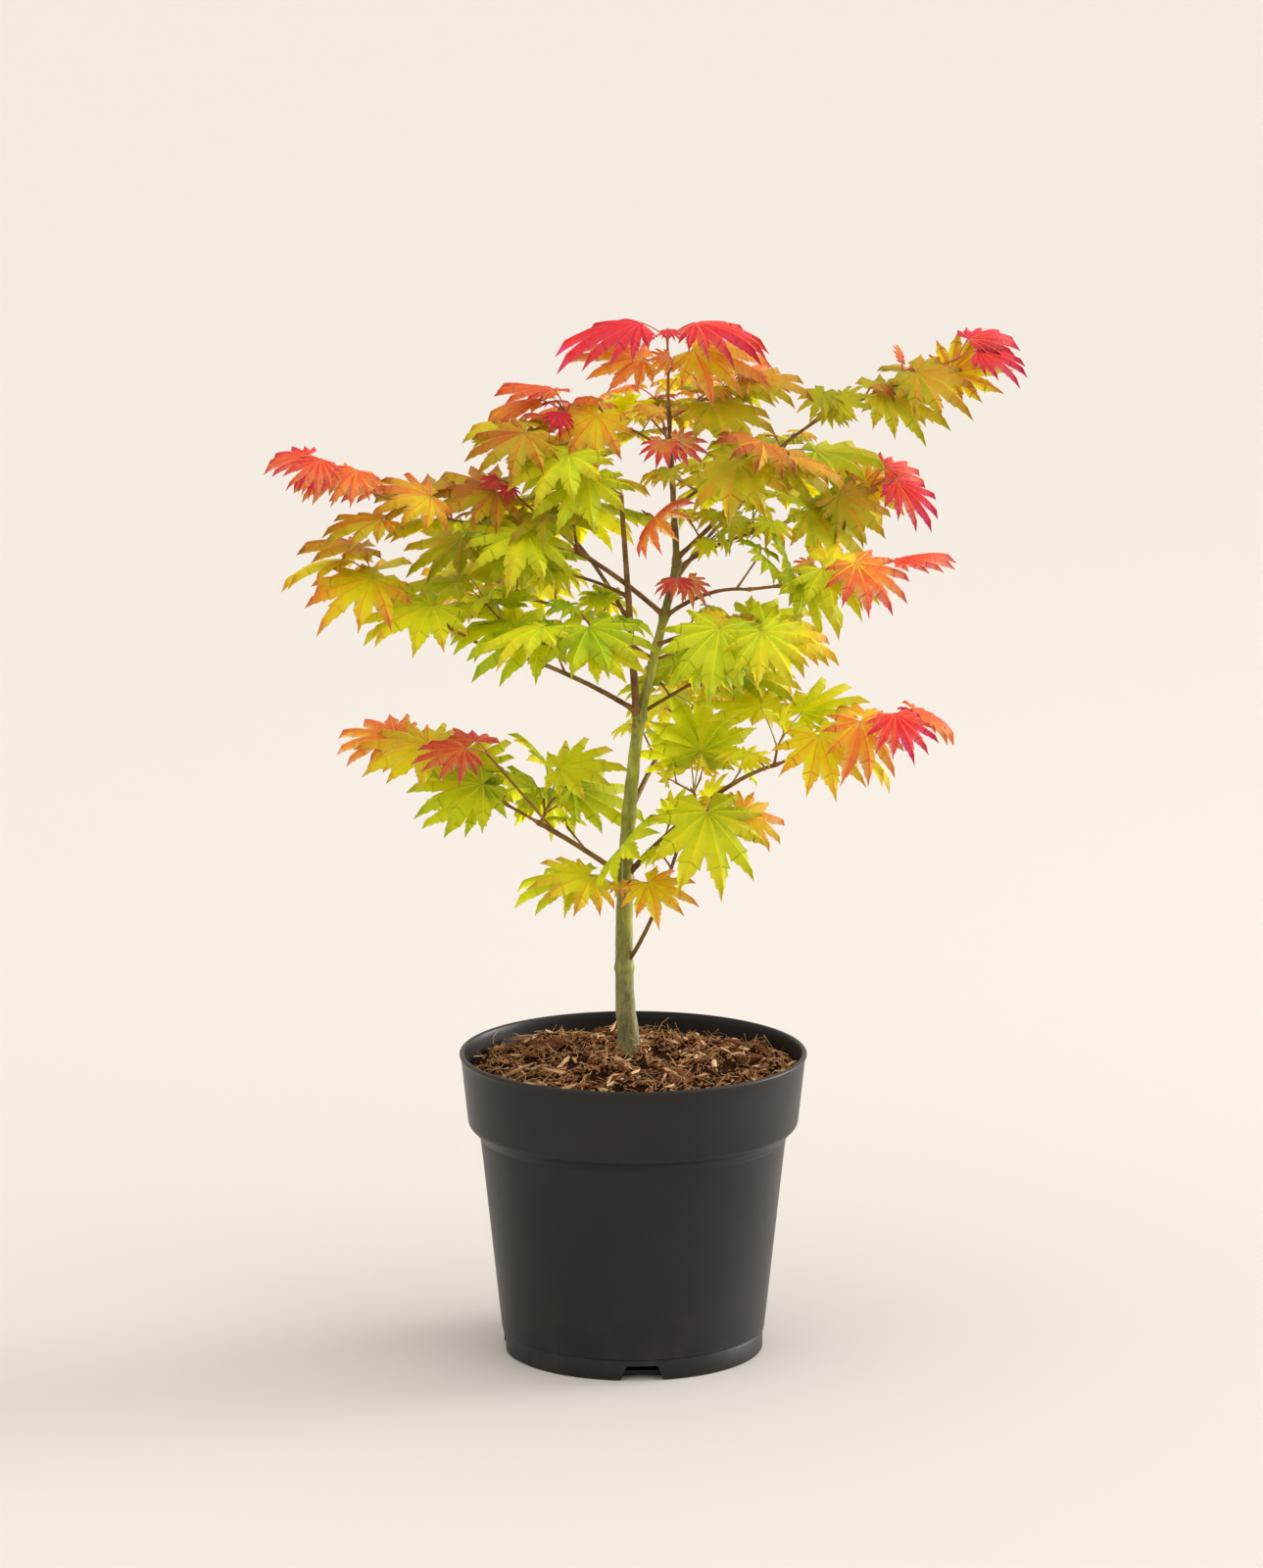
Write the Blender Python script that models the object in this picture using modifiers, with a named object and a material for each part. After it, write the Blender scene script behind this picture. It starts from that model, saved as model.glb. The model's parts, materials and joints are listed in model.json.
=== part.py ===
"""A young full-moon maple in a round nursery pot.

The origin is the centre of the pot's flat underside, +Z is up and the front is -Y. The trunk stands on the
potting mix and forks into a left stem and a leader; boughs leave them in turn, and every bough ends where a
spray of leaves takes over. All lengths are metres and all angles degrees.
"""

import math
import random
from collections import namedtuple

import bmesh
import bpy
from mathutils import Matrix, Vector
from mathutils.bvhtree import BVHTree

# Pot: a thin moulded shell with a rolled lip, a deep collar and a slightly narrower foot band.
RIM_RADIUS = 0.0950
POT_HEIGHT = 0.1665
LIP_HEIGHT = 0.0040
LIP_PROUD = 0.0010
COLLAR_TOP_RADIUS = RIM_RADIUS - LIP_PROUD
COLLAR_FOOT_RADIUS = 0.0905
COLLAR_FOOT_HEIGHT = 0.1267
SHOULDER_RADIUS = 0.0835
SHOULDER_HEIGHT = 0.1188
BASE_RADIUS = 0.0722
FOOT_BAND_HEIGHT = 0.0115
FOOT_BAND_RADIUS = 0.0714
WALL = 0.0020
FLOOR = 0.0030
POT_SIDES = 36

# Drainage notches: openings with slanting sides, cut through the foot band into the pot.
NOTCH_COUNT = 4
NOTCH_TURN = 274.0
NOTCH_WIDTH = 0.0200
NOTCH_TOP_WIDTH = 0.0170
NOTCH_HEIGHT = 0.0065
NOTCH_DEPTH = 0.0100

# Potting mix: fills the pot to just under the lip and rises to a low flat top round the trunk.
SOIL_TOP = 0.1610
SOIL_EDGE = 0.1545
SOIL_FLAT_RADIUS = 0.0350

# Clearance between neighbouring solids.
GAP = 0.0003

# Trunk: leans to the front as it rises, with a root flare and a swelling just above the soil.
TRUNK_FOOT = (-0.0028, 0.0180)
TRUNK_RADIUS = 0.0056
TRUNK_TIP_RADIUS = 0.0031
FLARE = 0.0012
FLARE_HEIGHT = 0.0060
SWELLING = 0.0006
SWELLING_HEIGHT = 0.0170

# Each limb starts inside its parent, at a share of the parent's length, and runs out along its heading.
Limb = namedtuple("Limb", "name parent share heading reach rise arch sway radius tip_radius")
LIMBS = [
    Limb("trunk", None, 0.00, 292, 0.016, 0.189, 0.000, -0.005, TRUNK_RADIUS, TRUNK_TIP_RADIUS),
    Limb("leader", "trunk", 1.00, 14, 0.021, 0.084, 0.000, 0.000, 0.0028, 0.0021),
    Limb("leader_top", "leader", 1.00, 140, 0.006, 0.086, 0.000, 0.000, 0.0019, 0.0011),
    Limb("left_stem", "trunk", 0.97, 249, 0.025, 0.132, 0.000, 0.000, 0.0023, 0.0012),
    Limb("low_right_twig", "trunk", 0.26, 317, 0.044, 0.083, -0.008, 0.000, 0.0013, 0.0009),
    Limb("low_right_bough", "trunk", 0.53, 335, 0.045, 0.043, 0.002, 0.000, 0.0018, 0.0014),
    Limb("low_right_end", "low_right_bough", 1.00, 337, 0.044, 0.027, 0.003, 0.000, 0.0013, 0.0010),
    Limb("low_left_bough", "trunk", 0.53, 164, 0.050, 0.028, 0.001, 0.000, 0.0016, 0.0013),
    Limb("low_back_bough", "trunk", 0.72, 70, 0.085, 0.038, 0.003, 0.000, 0.0016, 0.0010),
    Limb("fork_twig", "leader", 0.04, 28, 0.037, 0.016, 0.000, 0.000, 0.0011, 0.0008),
    Limb("mid_left_bough", "left_stem", 0.08, 200, 0.089, 0.042, 0.004, 0.000, 0.0015, 0.0009),
    Limb("mid_front_bough", "left_stem", 0.36, 238, 0.045, 0.014, 0.002, 0.000, 0.0012, 0.0009),
    Limb("mid_back_bough", "left_stem", 0.45, 112, 0.082, 0.034, 0.003, 0.000, 0.0013, 0.0009),
    Limb("second_left_bough", "left_stem", 0.57, 153, 0.032, 0.009, 0.001, 0.000, 0.0011, 0.0008),
    Limb("back_left_bough", "leader", 0.38, 140, 0.085, 0.024, 0.004, 0.000, 0.0013, 0.0009),
    Limb("front_right_bough", "leader", 0.48, 300, 0.060, 0.016, 0.002, 0.000, 0.0012, 0.0009),
    Limb("upper_left_bough", "leader", 0.67, 213, 0.057, 0.041, 0.002, 0.000, 0.0015, 0.0012),
    Limb("right_bough", "leader", 0.66, 335, 0.050, 0.019, 0.005, 0.000, 0.0013, 0.0008),
    Limb("back_right_bough", "leader", 0.86, 62, 0.078, 0.032, 0.003, 0.000, 0.0013, 0.0009),
    Limb("second_right_bough", "leader", 0.97, 21, 0.050, 0.018, 0.003, 0.000, 0.0012, 0.0008),
    Limb("upper_right_bough", "leader_top", 0.04, 14, 0.050, 0.052, -0.003, 0.000, 0.0014, 0.0011),
    Limb("upper_right_end", "upper_right_bough", 1.00, 14, 0.041, 0.027, 0.002, 0.000, 0.0010, 0.0008),
    Limb("front_top_bough", "leader_top", 0.35, 312, 0.040, 0.022, 0.002, 0.000, 0.0010, 0.0008),
    Limb("back_top_bough", "leader_top", 0.50, 95, 0.045, 0.024, 0.002, 0.000, 0.0010, 0.0008),
    Limb("top_left_bough", "leader_top", 0.66, 208, 0.024, 0.018, 0.002, 0.000, 0.0009, 0.0007),
]
TRUNK_STEPS = 16
LIMB_STEPS = 5

# Each spray is one stem with pairs of leaves: where it starts, how it runs, its length and its pairs; the
# lengths of its first and last leaves and of their stalks, in millimetres like the stem's; how the stalks
# lift and spread; how the blades hang, lean towards the front and droop at their tips; and how far they
# have turned from green (0) to crimson (1) at the first pair and at the last.
Spray = namedtuple(
    "Spray",
    "name parent share heading climb length pairs leaf last_leaf stalk lift spread hang lean droop"
    " turned last_turned",
)
SPRAY_ROWS = [
    ("low_front", "trunk", 0.50, 262, 8, 22, 2, 40, 34, 26, 24, 72, 14, 16, 0.22, 0.22, 0.46),
    ("low_twig", "low_right_twig", 1.0, 335, 30, 20, 2, 47, 30, 16, 25, 44, 34, 22, 0.20, 0.24, 0.62),
    ("low_right", "low_right_bough", 0.97, 115, 55, 10, 1, 44, 36, 26, 62, 30, -46, 16, 0.15, 0.24, 0.36),
    ("low_right_up", "low_right_end", 0.97, 70, 60, 10, 1, 38, 30, 22, 55, 40, -24, 16, 0.15, 0.30, 0.40),
    ("low_right_end", "low_right_end", 1.0, 340, 24, 66, 3, 38, 34, 18, 30, 56, 26, 18, 0.20, 0.46, 0.88),
    ("low_left", "low_left_bough", 0.97, 60, 42, 14, 2, 44, 36, 22, 36, 68, 6, 14, 0.16, 0.20, 0.30),
    ("low_left_end", "low_left_bough", 1.0, 162, 26, 78, 4, 42, 38, 18, 44, 42, 10, 18, 0.16, 0.22, 0.62),
    ("low_left_up", "low_left_bough", 0.80, 168, 48, 56, 1, 34, 30, 18, 20, 60, 0, 20, 0.20, 0.84, 0.90),
    ("low_back", "low_back_bough", 1.0, 62, 14, 45, 3, 40, 28, 20, 15, 55, 16, -14, 0.18, 0.25, 0.65),
    ("fork", "fork_twig", 1.0, 10, 5, 12, 1, 38, 34, 12, 12, 40, 4, 14, 0.16, 0.26, 0.36),
    ("mid_left", "mid_left_bough", 0.62, 160, 45, 44, 3, 42, 38, 18, 30, 52, 6, 16, 0.16, 0.16, 0.34),
    ("mid_left_end", "mid_left_bough", 1.0, 184, 30, 70, 4, 46, 40, 18, 30, 46, 20, 10, 0.16, 0.24, 0.60),
    ("mid_front", "mid_front_bough", 1.0, 250, 8, 30, 2, 46, 38, 18, 12, 54, 16, 12, 0.18, 0.14, 0.28),
    ("mid_back", "mid_back_bough", 1.0, 118, 15, 40, 3, 40, 30, 20, 15, 55, 16, -14, 0.18, 0.24, 0.62),
    ("back_left", "back_left_bough", 1.0, 138, 14, 42, 3, 40, 32, 20, 15, 55, 16, -14, 0.18, 0.26, 0.72),
    ("second_left", "second_left_bough", 1.0, 170, 12, 50, 3, 44, 40, 18, 24, 52, 8, 16, 0.16, 0.16, 0.36),
    ("leader_right", "leader", 0.38, 345, 24, 44, 2, 46, 40, 16, 16, 42, 12, 16, 0.16, 0.16, 0.30),
    ("front_right", "front_right_bough", 1.0, 312, 10, 26, 2, 44, 36, 18, 10, 50, 18, 14, 0.18, 0.22, 0.38),
    ("upper_left", "upper_left_bough", 0.97, 100, 42, 34, 2, 44, 38, 20, 20, 60, 14, 14, 0.16, 0.18, 0.42),
    ("upper_left_up", "upper_left_bough", 0.84, 178, 42, 50, 2, 43, 40, 18, 18, 46, 4, 16, 0.20, 0.42, 0.58),
    ("upper_left_end", "upper_left_bough", 1.0, 196, 14, 146, 6, 43, 28, 16, 38, 48, 18, 16, 0.20, 0.34, 0.96),
    ("right", "right_bough", 1.0, 345, 9, 68, 4, 39, 34, 15, 28, 46, 18, 22, 0.24, 0.24, 0.92),
    ("back_right", "back_right_bough", 1.0, 64, 14, 40, 3, 40, 30, 20, 15, 55, 16, -14, 0.18, 0.26, 0.65),
    ("second_right", "second_right_bough", 1.0, 14, 18, 64, 4, 42, 30, 16, 28, 44, 16, 24, 0.20, 0.34, 0.90),
    ("upper_right", "upper_right_bough", 0.97, 60, 10, 20, 1, 42, 36, 18, 6, 60, 10, 14, 0.16, 0.30, 0.42),
    ("upper_right_end", "upper_right_end", 0.9, 12, 21, 74, 4, 38, 33, 14, 20, 36, 10, 20, 0.26, 0.38, 0.98),
    ("top", "leader_top", 1.0, 266, 80, 38, 2, 42, 46, 18, 34, 74, -8, 20, 0.34, 0.66, 1.00),
    ("front_top", "front_top_bough", 1.0, 322, 20, 26, 2, 43, 38, 18, 24, 60, 12, 16, 0.20, 0.34, 0.66),
    ("leader_mid", "leader_top", 0.22, 205, 30, 20, 1, 34, 30, 18, 20, 55, 16, 16, 0.28, 0.80, 0.86),
    ("back_top", "back_top_bough", 1.0, 98, 20, 36, 3, 38, 30, 18, 15, 55, 14, -14, 0.20, 0.36, 0.80),
    ("left_top", "left_stem", 1.0, 192, 36, 50, 4, 44, 38, 18, 28, 60, 6, 16, 0.18, 0.22, 0.50),
    ("top_left", "top_left_bough", 1.0, 192, 14, 36, 3, 40, 36, 16, 22, 50, 20, 20, 0.20, 0.56, 0.80),
    ("top_right", "leader_top", 0.92, 8, 28, 30, 2, 42, 38, 18, 18, 50, 10, 16, 0.20, 0.36, 0.58),
]
SPRAYS = [Spray("leaves_" + row[0], *row[1:]) for row in SPRAY_ROWS]
MM = 0.001
STEM_RADIUS = 0.0009
STEM_TIP_RADIUS = 0.0006
STALK_RADIUS = 0.00055
STALK_END = 0.0004
TWIG_SIDES = 3
ROUND_COVER = 2.0  # a three-sided stick this many times wider holds the whole round one
HEADING_WANDER = 6.0
CLIMB_WANDER = 3.0

# Leaf: nine pointed lobes round the end of the stalk, cut about half way in, falling away like an umbrella.
LOBES = 9
LOBE_SPAN = 116.0
OUTER_LOBE_LOSS = 0.52
NOTCH_SHARE = 0.54
SINUS_SHARE = 0.12
BLADE_THICKNESS = 0.0016

# A leaf that would touch something is tried again, turned a little further each time, and then left out.
# The first share of its stalk isn't tried, because the two stalks of a pair leave from one joint.
TRIES = 24
FIRST_TURN = 11.0
TURN_STEP = 3.0
LIMB_MARGIN = 0.0008
SHARED_STALK = 0.25
BLADE_TWIST = 10.0
END_SPREAD_LOSS = 0.25
LEAF_SIZES = (0.92, 1.06)
STALK_SIZES = (0.85, 1.15)

CHARCOAL = (0.030, 0.028, 0.027)
MIX_BROWN = (0.095, 0.042, 0.020)
OLIVE_BARK = (0.165, 0.150, 0.062)
RED_BARK = (0.200, 0.085, 0.045)
TURNING_COLOURS = [
    (0.00, (0.115, 0.235, 0.018)),
    (0.25, (0.290, 0.470, 0.026)),
    (0.45, (0.600, 0.580, 0.045)),
    (0.60, (0.760, 0.470, 0.040)),
    (0.80, (0.730, 0.160, 0.045)),
    (1.00, (0.600, 0.030, 0.045)),
]


def clear_scene():
    for obj in list(bpy.data.objects):
        bpy.data.objects.remove(obj)


def new_collection(name):
    collection = bpy.data.collections.new(name)
    bpy.context.scene.collection.children.link(collection)
    return collection


def new_material(name, colour, roughness):
    material = bpy.data.materials.new(name)
    material.use_nodes = True
    shader = material.node_tree.nodes["Principled BSDF"]
    shader.inputs["Base Color"].default_value = (*colour, 1.0)
    shader.inputs["Roughness"].default_value = roughness
    shader.inputs["Metallic"].default_value = 0.0
    material.diffuse_color = (*colour, 1.0)
    return material


def turning_colour(turned):
    for (low, low_colour), (high, high_colour) in zip(TURNING_COLOURS, TURNING_COLOURS[1:]):
        if turned <= high:
            share = (turned - low) / (high - low)
            return tuple(a + (b - a) * share for a, b in zip(low_colour, high_colour))
    return TURNING_COLOURS[-1][1]


def link(collection, name, data, material):
    obj = bpy.data.objects.new(name, data)
    collection.objects.link(obj)
    data.materials.clear()
    data.materials.append(material)
    return obj


def direction(heading, climb=0.0):
    flat = math.cos(math.radians(climb))
    return Vector(
        (
            flat * math.cos(math.radians(heading)),
            flat * math.sin(math.radians(heading)),
            math.sin(math.radians(climb)),
        )
    )


# ---------------------------------------------------------------- pot and potting mix


def turned_object(collection, name, profile, material):
    """A profile of (radius, height) points turned round the Z axis; it runs down the outer side."""
    mesh = bpy.data.meshes.new(name)
    points = [(radius, 0.0, height) for radius, height in profile]
    edges = [(i, i + 1) for i in range(len(points) - 1)]
    mesh.from_pydata(points, edges, [])
    obj = link(collection, name, mesh, material)
    screw = obj.modifiers.new("turn", "SCREW")
    screw.steps = POT_SIDES
    screw.render_steps = POT_SIDES
    screw.use_merge_vertices = True
    screw.merge_threshold = 0.00005
    return obj


def inner_wall(clearance):
    """The inside of the pot's wall from the lip down to the floor, moved in by a clearance."""
    inset = WALL + clearance
    return [
        (COLLAR_TOP_RADIUS - inset, POT_HEIGHT),
        (COLLAR_FOOT_RADIUS - inset, COLLAR_FOOT_HEIGHT),
        (SHOULDER_RADIUS - inset, SHOULDER_HEIGHT),
        (FOOT_BAND_RADIUS - inset, FLOOR + clearance),
    ]


def wall_radius_at(height, clearance):
    wall = inner_wall(clearance)
    (top_radius, top), (low_radius, low) = wall[0], wall[1]
    return low_radius + (top_radius - low_radius) * (height - low) / (top - low)


def make_pot(collection, cutters, material):
    outside = [
        (RIM_RADIUS - 0.0012, POT_HEIGHT),
        (RIM_RADIUS, POT_HEIGHT - 0.0010),
        (RIM_RADIUS, POT_HEIGHT - LIP_HEIGHT + 0.0008),
        (COLLAR_TOP_RADIUS, POT_HEIGHT - LIP_HEIGHT),
        (COLLAR_FOOT_RADIUS, COLLAR_FOOT_HEIGHT),
        (COLLAR_FOOT_RADIUS - 0.0022, COLLAR_FOOT_HEIGHT - 0.0050),
        (SHOULDER_RADIUS, SHOULDER_HEIGHT),
        (BASE_RADIUS, FOOT_BAND_HEIGHT),
        (FOOT_BAND_RADIUS, FOOT_BAND_HEIGHT - 0.0006),
        (FOOT_BAND_RADIUS, 0.0008),
        (FOOT_BAND_RADIUS - 0.0008, 0.0),
        (0.0, 0.0),
    ]
    inside = [(0.0, FLOOR)] + list(reversed(inner_wall(0.0)))
    pot = turned_object(collection, "pot", inside + outside, material)
    for index in range(NOTCH_COUNT):
        turn = math.radians(NOTCH_TURN + index * 360.0 / NOTCH_COUNT)
        cutter = notch_cutter(cutters, f"notch_cutter_{index + 1}", turn)
        cut = pot.modifiers.new(f"notch_{index + 1}", "BOOLEAN")
        cut.operation = "DIFFERENCE"
        cut.solver = "EXACT"
        cut.object = cutter
    return pot


def notch_cutter(cutters, name, turn):
    """A block as deep as the notch, wider at its foot, that reaches out past the foot band."""
    below = 0.0020
    bm = bmesh.new()
    bmesh.ops.create_cube(bm, size=1.0)
    slant = (NOTCH_WIDTH - NOTCH_TOP_WIDTH) / NOTCH_HEIGHT
    for vertex in bm.verts:
        top = vertex.co.z > 0
        height = NOTCH_HEIGHT if top else -below
        width = NOTCH_TOP_WIDTH if top else NOTCH_WIDTH + slant * below
        outward = FOOT_BAND_RADIUS + 0.0040 if vertex.co.x > 0 else FOOT_BAND_RADIUS - NOTCH_DEPTH
        vertex.co = Vector((outward, math.copysign(width / 2, vertex.co.y), height))
    mesh = bpy.data.meshes.new(name)
    bm.to_mesh(mesh)
    bm.free()
    cutter = bpy.data.objects.new(name, mesh)
    cutters.objects.link(cutter)
    cutter.rotation_euler.z = turn
    cutter.hide_render = True
    cutter.display_type = "WIRE"
    return cutter


def make_soil(collection, material):
    wall = inner_wall(GAP)
    profile = [
        (0.0, SOIL_TOP),
        (SOIL_FLAT_RADIUS, SOIL_TOP),
        (SOIL_FLAT_RADIUS + 0.030, (SOIL_TOP + SOIL_EDGE) / 2),
        (wall_radius_at(SOIL_EDGE, GAP), SOIL_EDGE),
        wall[1],
        wall[2],
        wall[3],
        (0.0, FLOOR + GAP),
    ]
    return turned_object(collection, "potting_mix", profile, material)


# ---------------------------------------------------------------- trunk and boughs


def limb_line(limb, lines):
    """The limb's centre points, from inside its parent to its tip, and its radius at each."""
    if limb.parent is None:
        start = Vector((*TRUNK_FOOT, SOIL_TOP + GAP))
        steps = TRUNK_STEPS
    else:
        start = point_along(lines[limb.parent], limb.share)
        steps = LIMB_STEPS
    ahead = direction(limb.heading)
    aside = direction(limb.heading + 90)
    points = []
    radii = []
    for step in range(steps + 1):
        share = step / steps
        bow = 4 * share * (1 - share)
        height = limb.rise * share + limb.arch * bow
        points.append(start + ahead * limb.reach * share + aside * limb.sway * bow + Vector((0, 0, height)))
        radii.append(limb.radius + (limb.tip_radius - limb.radius) * share)
    if limb.parent is None:
        flare_trunk(points, radii)
    return points, radii


def flare_trunk(points, radii):
    """Widens the foot of the trunk, adds the swelling above it, and stands the foot upright."""
    ground = points[0].z
    for index, point in enumerate(points):
        height = point.z - ground
        radii[index] += FLARE * math.exp(-height / FLARE_HEIGHT)
        radii[index] += SWELLING * math.exp(-(((height - SWELLING_HEIGHT) / FLARE_HEIGHT) ** 2))
    points[1].x = points[0].x
    points[1].y = points[0].y


def point_along(line, share):
    points = line[0]
    place = share * (len(points) - 1)
    index = min(int(place), len(points) - 2)
    return points[index].lerp(points[index + 1], place - index)


def tube_object(collection, name, points, radii, resolution, material):
    """A tapering round limb: a curve with a bevel and filled caps, turned into a welded mesh."""
    curve = bpy.data.curves.new(name, "CURVE")
    curve.dimensions = "3D"
    curve.bevel_depth = radii[0]
    curve.bevel_resolution = resolution
    curve.use_fill_caps = True
    spline = curve.splines.new("POLY")
    spline.points.add(len(points) - 1)
    for spline_point, point, radius in zip(spline.points, points, radii):
        spline_point.co = (*point, 1.0)
        spline_point.radius = radius / radii[0]
    holder = bpy.data.objects.new(name + "_curve", curve)
    collection.objects.link(holder)
    bpy.context.view_layer.update()
    evaluated = holder.evaluated_get(bpy.context.evaluated_depsgraph_get())
    mesh = bpy.data.meshes.new_from_object(evaluated)
    bpy.data.objects.remove(holder)
    bm = bmesh.new()
    bm.from_mesh(mesh)
    bmesh.ops.remove_doubles(bm, verts=bm.verts, dist=0.00001)
    bmesh.ops.recalc_face_normals(bm, faces=bm.faces)
    bm.to_mesh(mesh)
    bm.free()
    mesh.name = name
    obj = link(collection, name, mesh, material)
    mesh.shade_smooth()
    mesh.set_sharp_from_angle(angle=math.radians(50))
    return obj


def grown_points(points):
    """The same line, longer at both ends by the clearance."""
    first = points[0] + (points[0] - points[1]).normalized() * GAP
    last = points[-1] + (points[-1] - points[-2]).normalized() * GAP
    return [first] + points[1:-1] + [last]


def make_limbs(collection, cutters, lines, materials):
    """Makes every limb, each cut back to stand clear of the limbs made before it."""
    shells = {}
    for limb in LIMBS:
        points, radii = lines[limb.name]
        resolution = 3 if limb.parent is None else 1
        obj = tube_object(collection, limb.name, points, radii, resolution, materials[limb.name])
        for shell in shells.values():
            cut_clear(obj, shell)
        grown_radii = [radius + GAP for radius in radii]
        shell = tube_object(
            cutters, limb.name + "_shell", grown_points(points), grown_radii, resolution, materials[limb.name]
        )
        shell.hide_render = True
        shell.display_type = "WIRE"
        shells[limb.name] = shell
    return shells


def surface_tree(obj):
    bm = bmesh.new()
    bm.from_mesh(obj.data)
    tree = BVHTree.FromBMesh(bm)
    bm.free()
    return tree


def apply_modifiers(obj):
    evaluated = obj.evaluated_get(bpy.context.evaluated_depsgraph_get())
    mesh = bpy.data.meshes.new_from_object(evaluated)
    old_mesh = obj.data
    obj.modifiers.clear()
    obj.data = mesh
    bpy.data.meshes.remove(old_mesh)


def cut_clear(obj, shell):
    """Cuts an object back by a neighbour's grown shell where the two meet, and keeps its largest piece."""
    if not surface_tree(obj).overlap(surface_tree(shell)):
        return
    cut = obj.modifiers.new("clear", "BOOLEAN")
    cut.operation = "DIFFERENCE"
    cut.solver = "EXACT"
    cut.object = shell
    apply_modifiers(obj)
    keep_largest_piece(obj)


def keep_largest_piece(obj):
    bm = bmesh.new()
    bm.from_mesh(obj.data)
    pieces = []
    unseen = set(bm.faces)
    while unseen:
        start = unseen.pop()
        piece = [start]
        queue = [start]
        while queue:
            face = queue.pop()
            for edge in face.edges:
                for neighbour in edge.link_faces:
                    if neighbour in unseen:
                        unseen.remove(neighbour)
                        piece.append(neighbour)
                        queue.append(neighbour)
        pieces.append(piece)
    pieces.sort(key=lambda piece: sum(face.calc_area() for face in piece), reverse=True)
    scrap = [face for piece in pieces[1:] for face in piece]
    bmesh.ops.delete(bm, geom=scrap, context="FACES")
    bm.to_mesh(obj.data)
    bm.free()


# ---------------------------------------------------------------- leaves


def leaf_ring():
    """Points round the blade as (reach, angle): the lobes' tips, the notches between and the sinus."""
    angles = [-LOBE_SPAN + 2 * LOBE_SPAN * i / (LOBES - 1) for i in range(LOBES)]
    reaches = [1 - OUTER_LOBE_LOSS * (abs(angle) / LOBE_SPAN) ** 1.5 for angle in angles]
    ring = []
    for index in range(LOBES):
        ring.append((reaches[index], angles[index]))
        if index < LOBES - 1:
            notch = NOTCH_SHARE * (reaches[index] + reaches[index + 1]) / 2
            ring.append((notch, (angles[index] + angles[index + 1]) / 2))
    ring.append((SINUS_SHARE, 180.0))
    return ring


LEAF_RING = leaf_ring()
Leaf = namedtuple("Leaf", "joint centre blade stalk_end")


def blade_frame(lean, heading, hang, roll):
    turn = Matrix.Rotation(math.radians(lean), 3, "X")
    turn = turn @ Matrix.Rotation(math.radians(heading), 3, "Z")
    turn = turn @ Matrix.Rotation(math.radians(hang), 3, "Y")
    return turn @ Matrix.Rotation(math.radians(roll), 3, "X")


def leaf_blade(centre, turn, length, droop):
    """The blade as points and faces: two shallow stars that share their rim and part at the stalk's end."""
    points = []
    for reach, angle in LEAF_RING:
        across = Vector((math.cos(math.radians(angle)), math.sin(math.radians(angle)), 0.0)) * reach
        across.z = -droop * reach**2
        points.append(centre + turn @ (across * length))
    half = turn @ Vector((0, 0, BLADE_THICKNESS / 2))
    top = len(points)
    points += [centre + half, centre - half]
    faces = []
    for index in range(top):
        following = (index + 1) % top
        faces.append((index, following, top))
        faces.append((following, index, top + 1))
    return points, faces


def prism(start, end, start_radius, end_radius):
    """A three-sided tapering stick as points and faces."""
    axis = end - start
    turn = axis.to_track_quat("Z", "Y").to_matrix()
    points = []
    for place, radius in ((start, start_radius), (end, end_radius)):
        for side in range(TWIG_SIDES):
            angle = 2 * math.pi * side / TWIG_SIDES
            points.append(place + turn @ Vector((radius * math.cos(angle), radius * math.sin(angle), 0)))
    faces = [tuple(reversed(range(TWIG_SIDES))), tuple(range(TWIG_SIDES, 2 * TWIG_SIDES))]
    for side in range(TWIG_SIDES):
        following = (side + 1) % TWIG_SIDES
        faces.append((side, following, following + TWIG_SIDES, side + TWIG_SIDES))
    return points, faces


def shape_tree(shape):
    points, faces = shape
    return BVHTree.FromPolygons([tuple(point) for point in points], faces, epsilon=0.0)


def limb_trees(lines):
    """A slightly fat outline of every limb, for keeping leaves off it."""
    trees = []
    for points, radii in lines.values():
        fat = [(radius + LIMB_MARGIN) * ROUND_COVER for radius in radii]
        for index in range(len(points) - 1):
            trees.append(shape_tree(prism(points[index], points[index + 1], fat[index], fat[index + 1])))
    return trees


def spray_joints(spray, lines, rng):
    """The spray's stem: its start in the parent and the joint of each pair of leaves."""
    joints = [point_along(lines[spray.parent], spray.share)]
    heading = spray.heading
    climb = spray.climb
    for _ in range(spray.pairs):
        joints.append(joints[-1] + direction(heading, climb) * spray.length * MM / spray.pairs)
        heading += rng.uniform(-HEADING_WANDER, HEADING_WANDER)
        climb += rng.uniform(-CLIMB_WANDER, CLIMB_WANDER)
    return joints


def grow_leaves(spray, joints, rng, taken, other_stems):
    """Pairs of leaves along the stem; a leaf that can't find room is left out."""
    leaves = []
    for pair in range(spray.pairs):
        share = pair / max(1, spray.pairs - 1)
        joint = joints[pair + 1]
        run = joint - joints[pair]
        stem_heading = math.degrees(math.atan2(run.y, run.x))
        length = (spray.leaf + (spray.last_leaf - spray.leaf) * share) * MM
        for side in (-1, 1):
            leaf = fit_leaf(spray, joint, stem_heading, side, share, length, rng, taken, other_stems)
            if leaf is None:
                continue
            leaves.append(leaf)
            taken.append(shape_tree(leaf.blade))
            taken.append(shape_tree(leaf.stalk_end))
    return leaves


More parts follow.
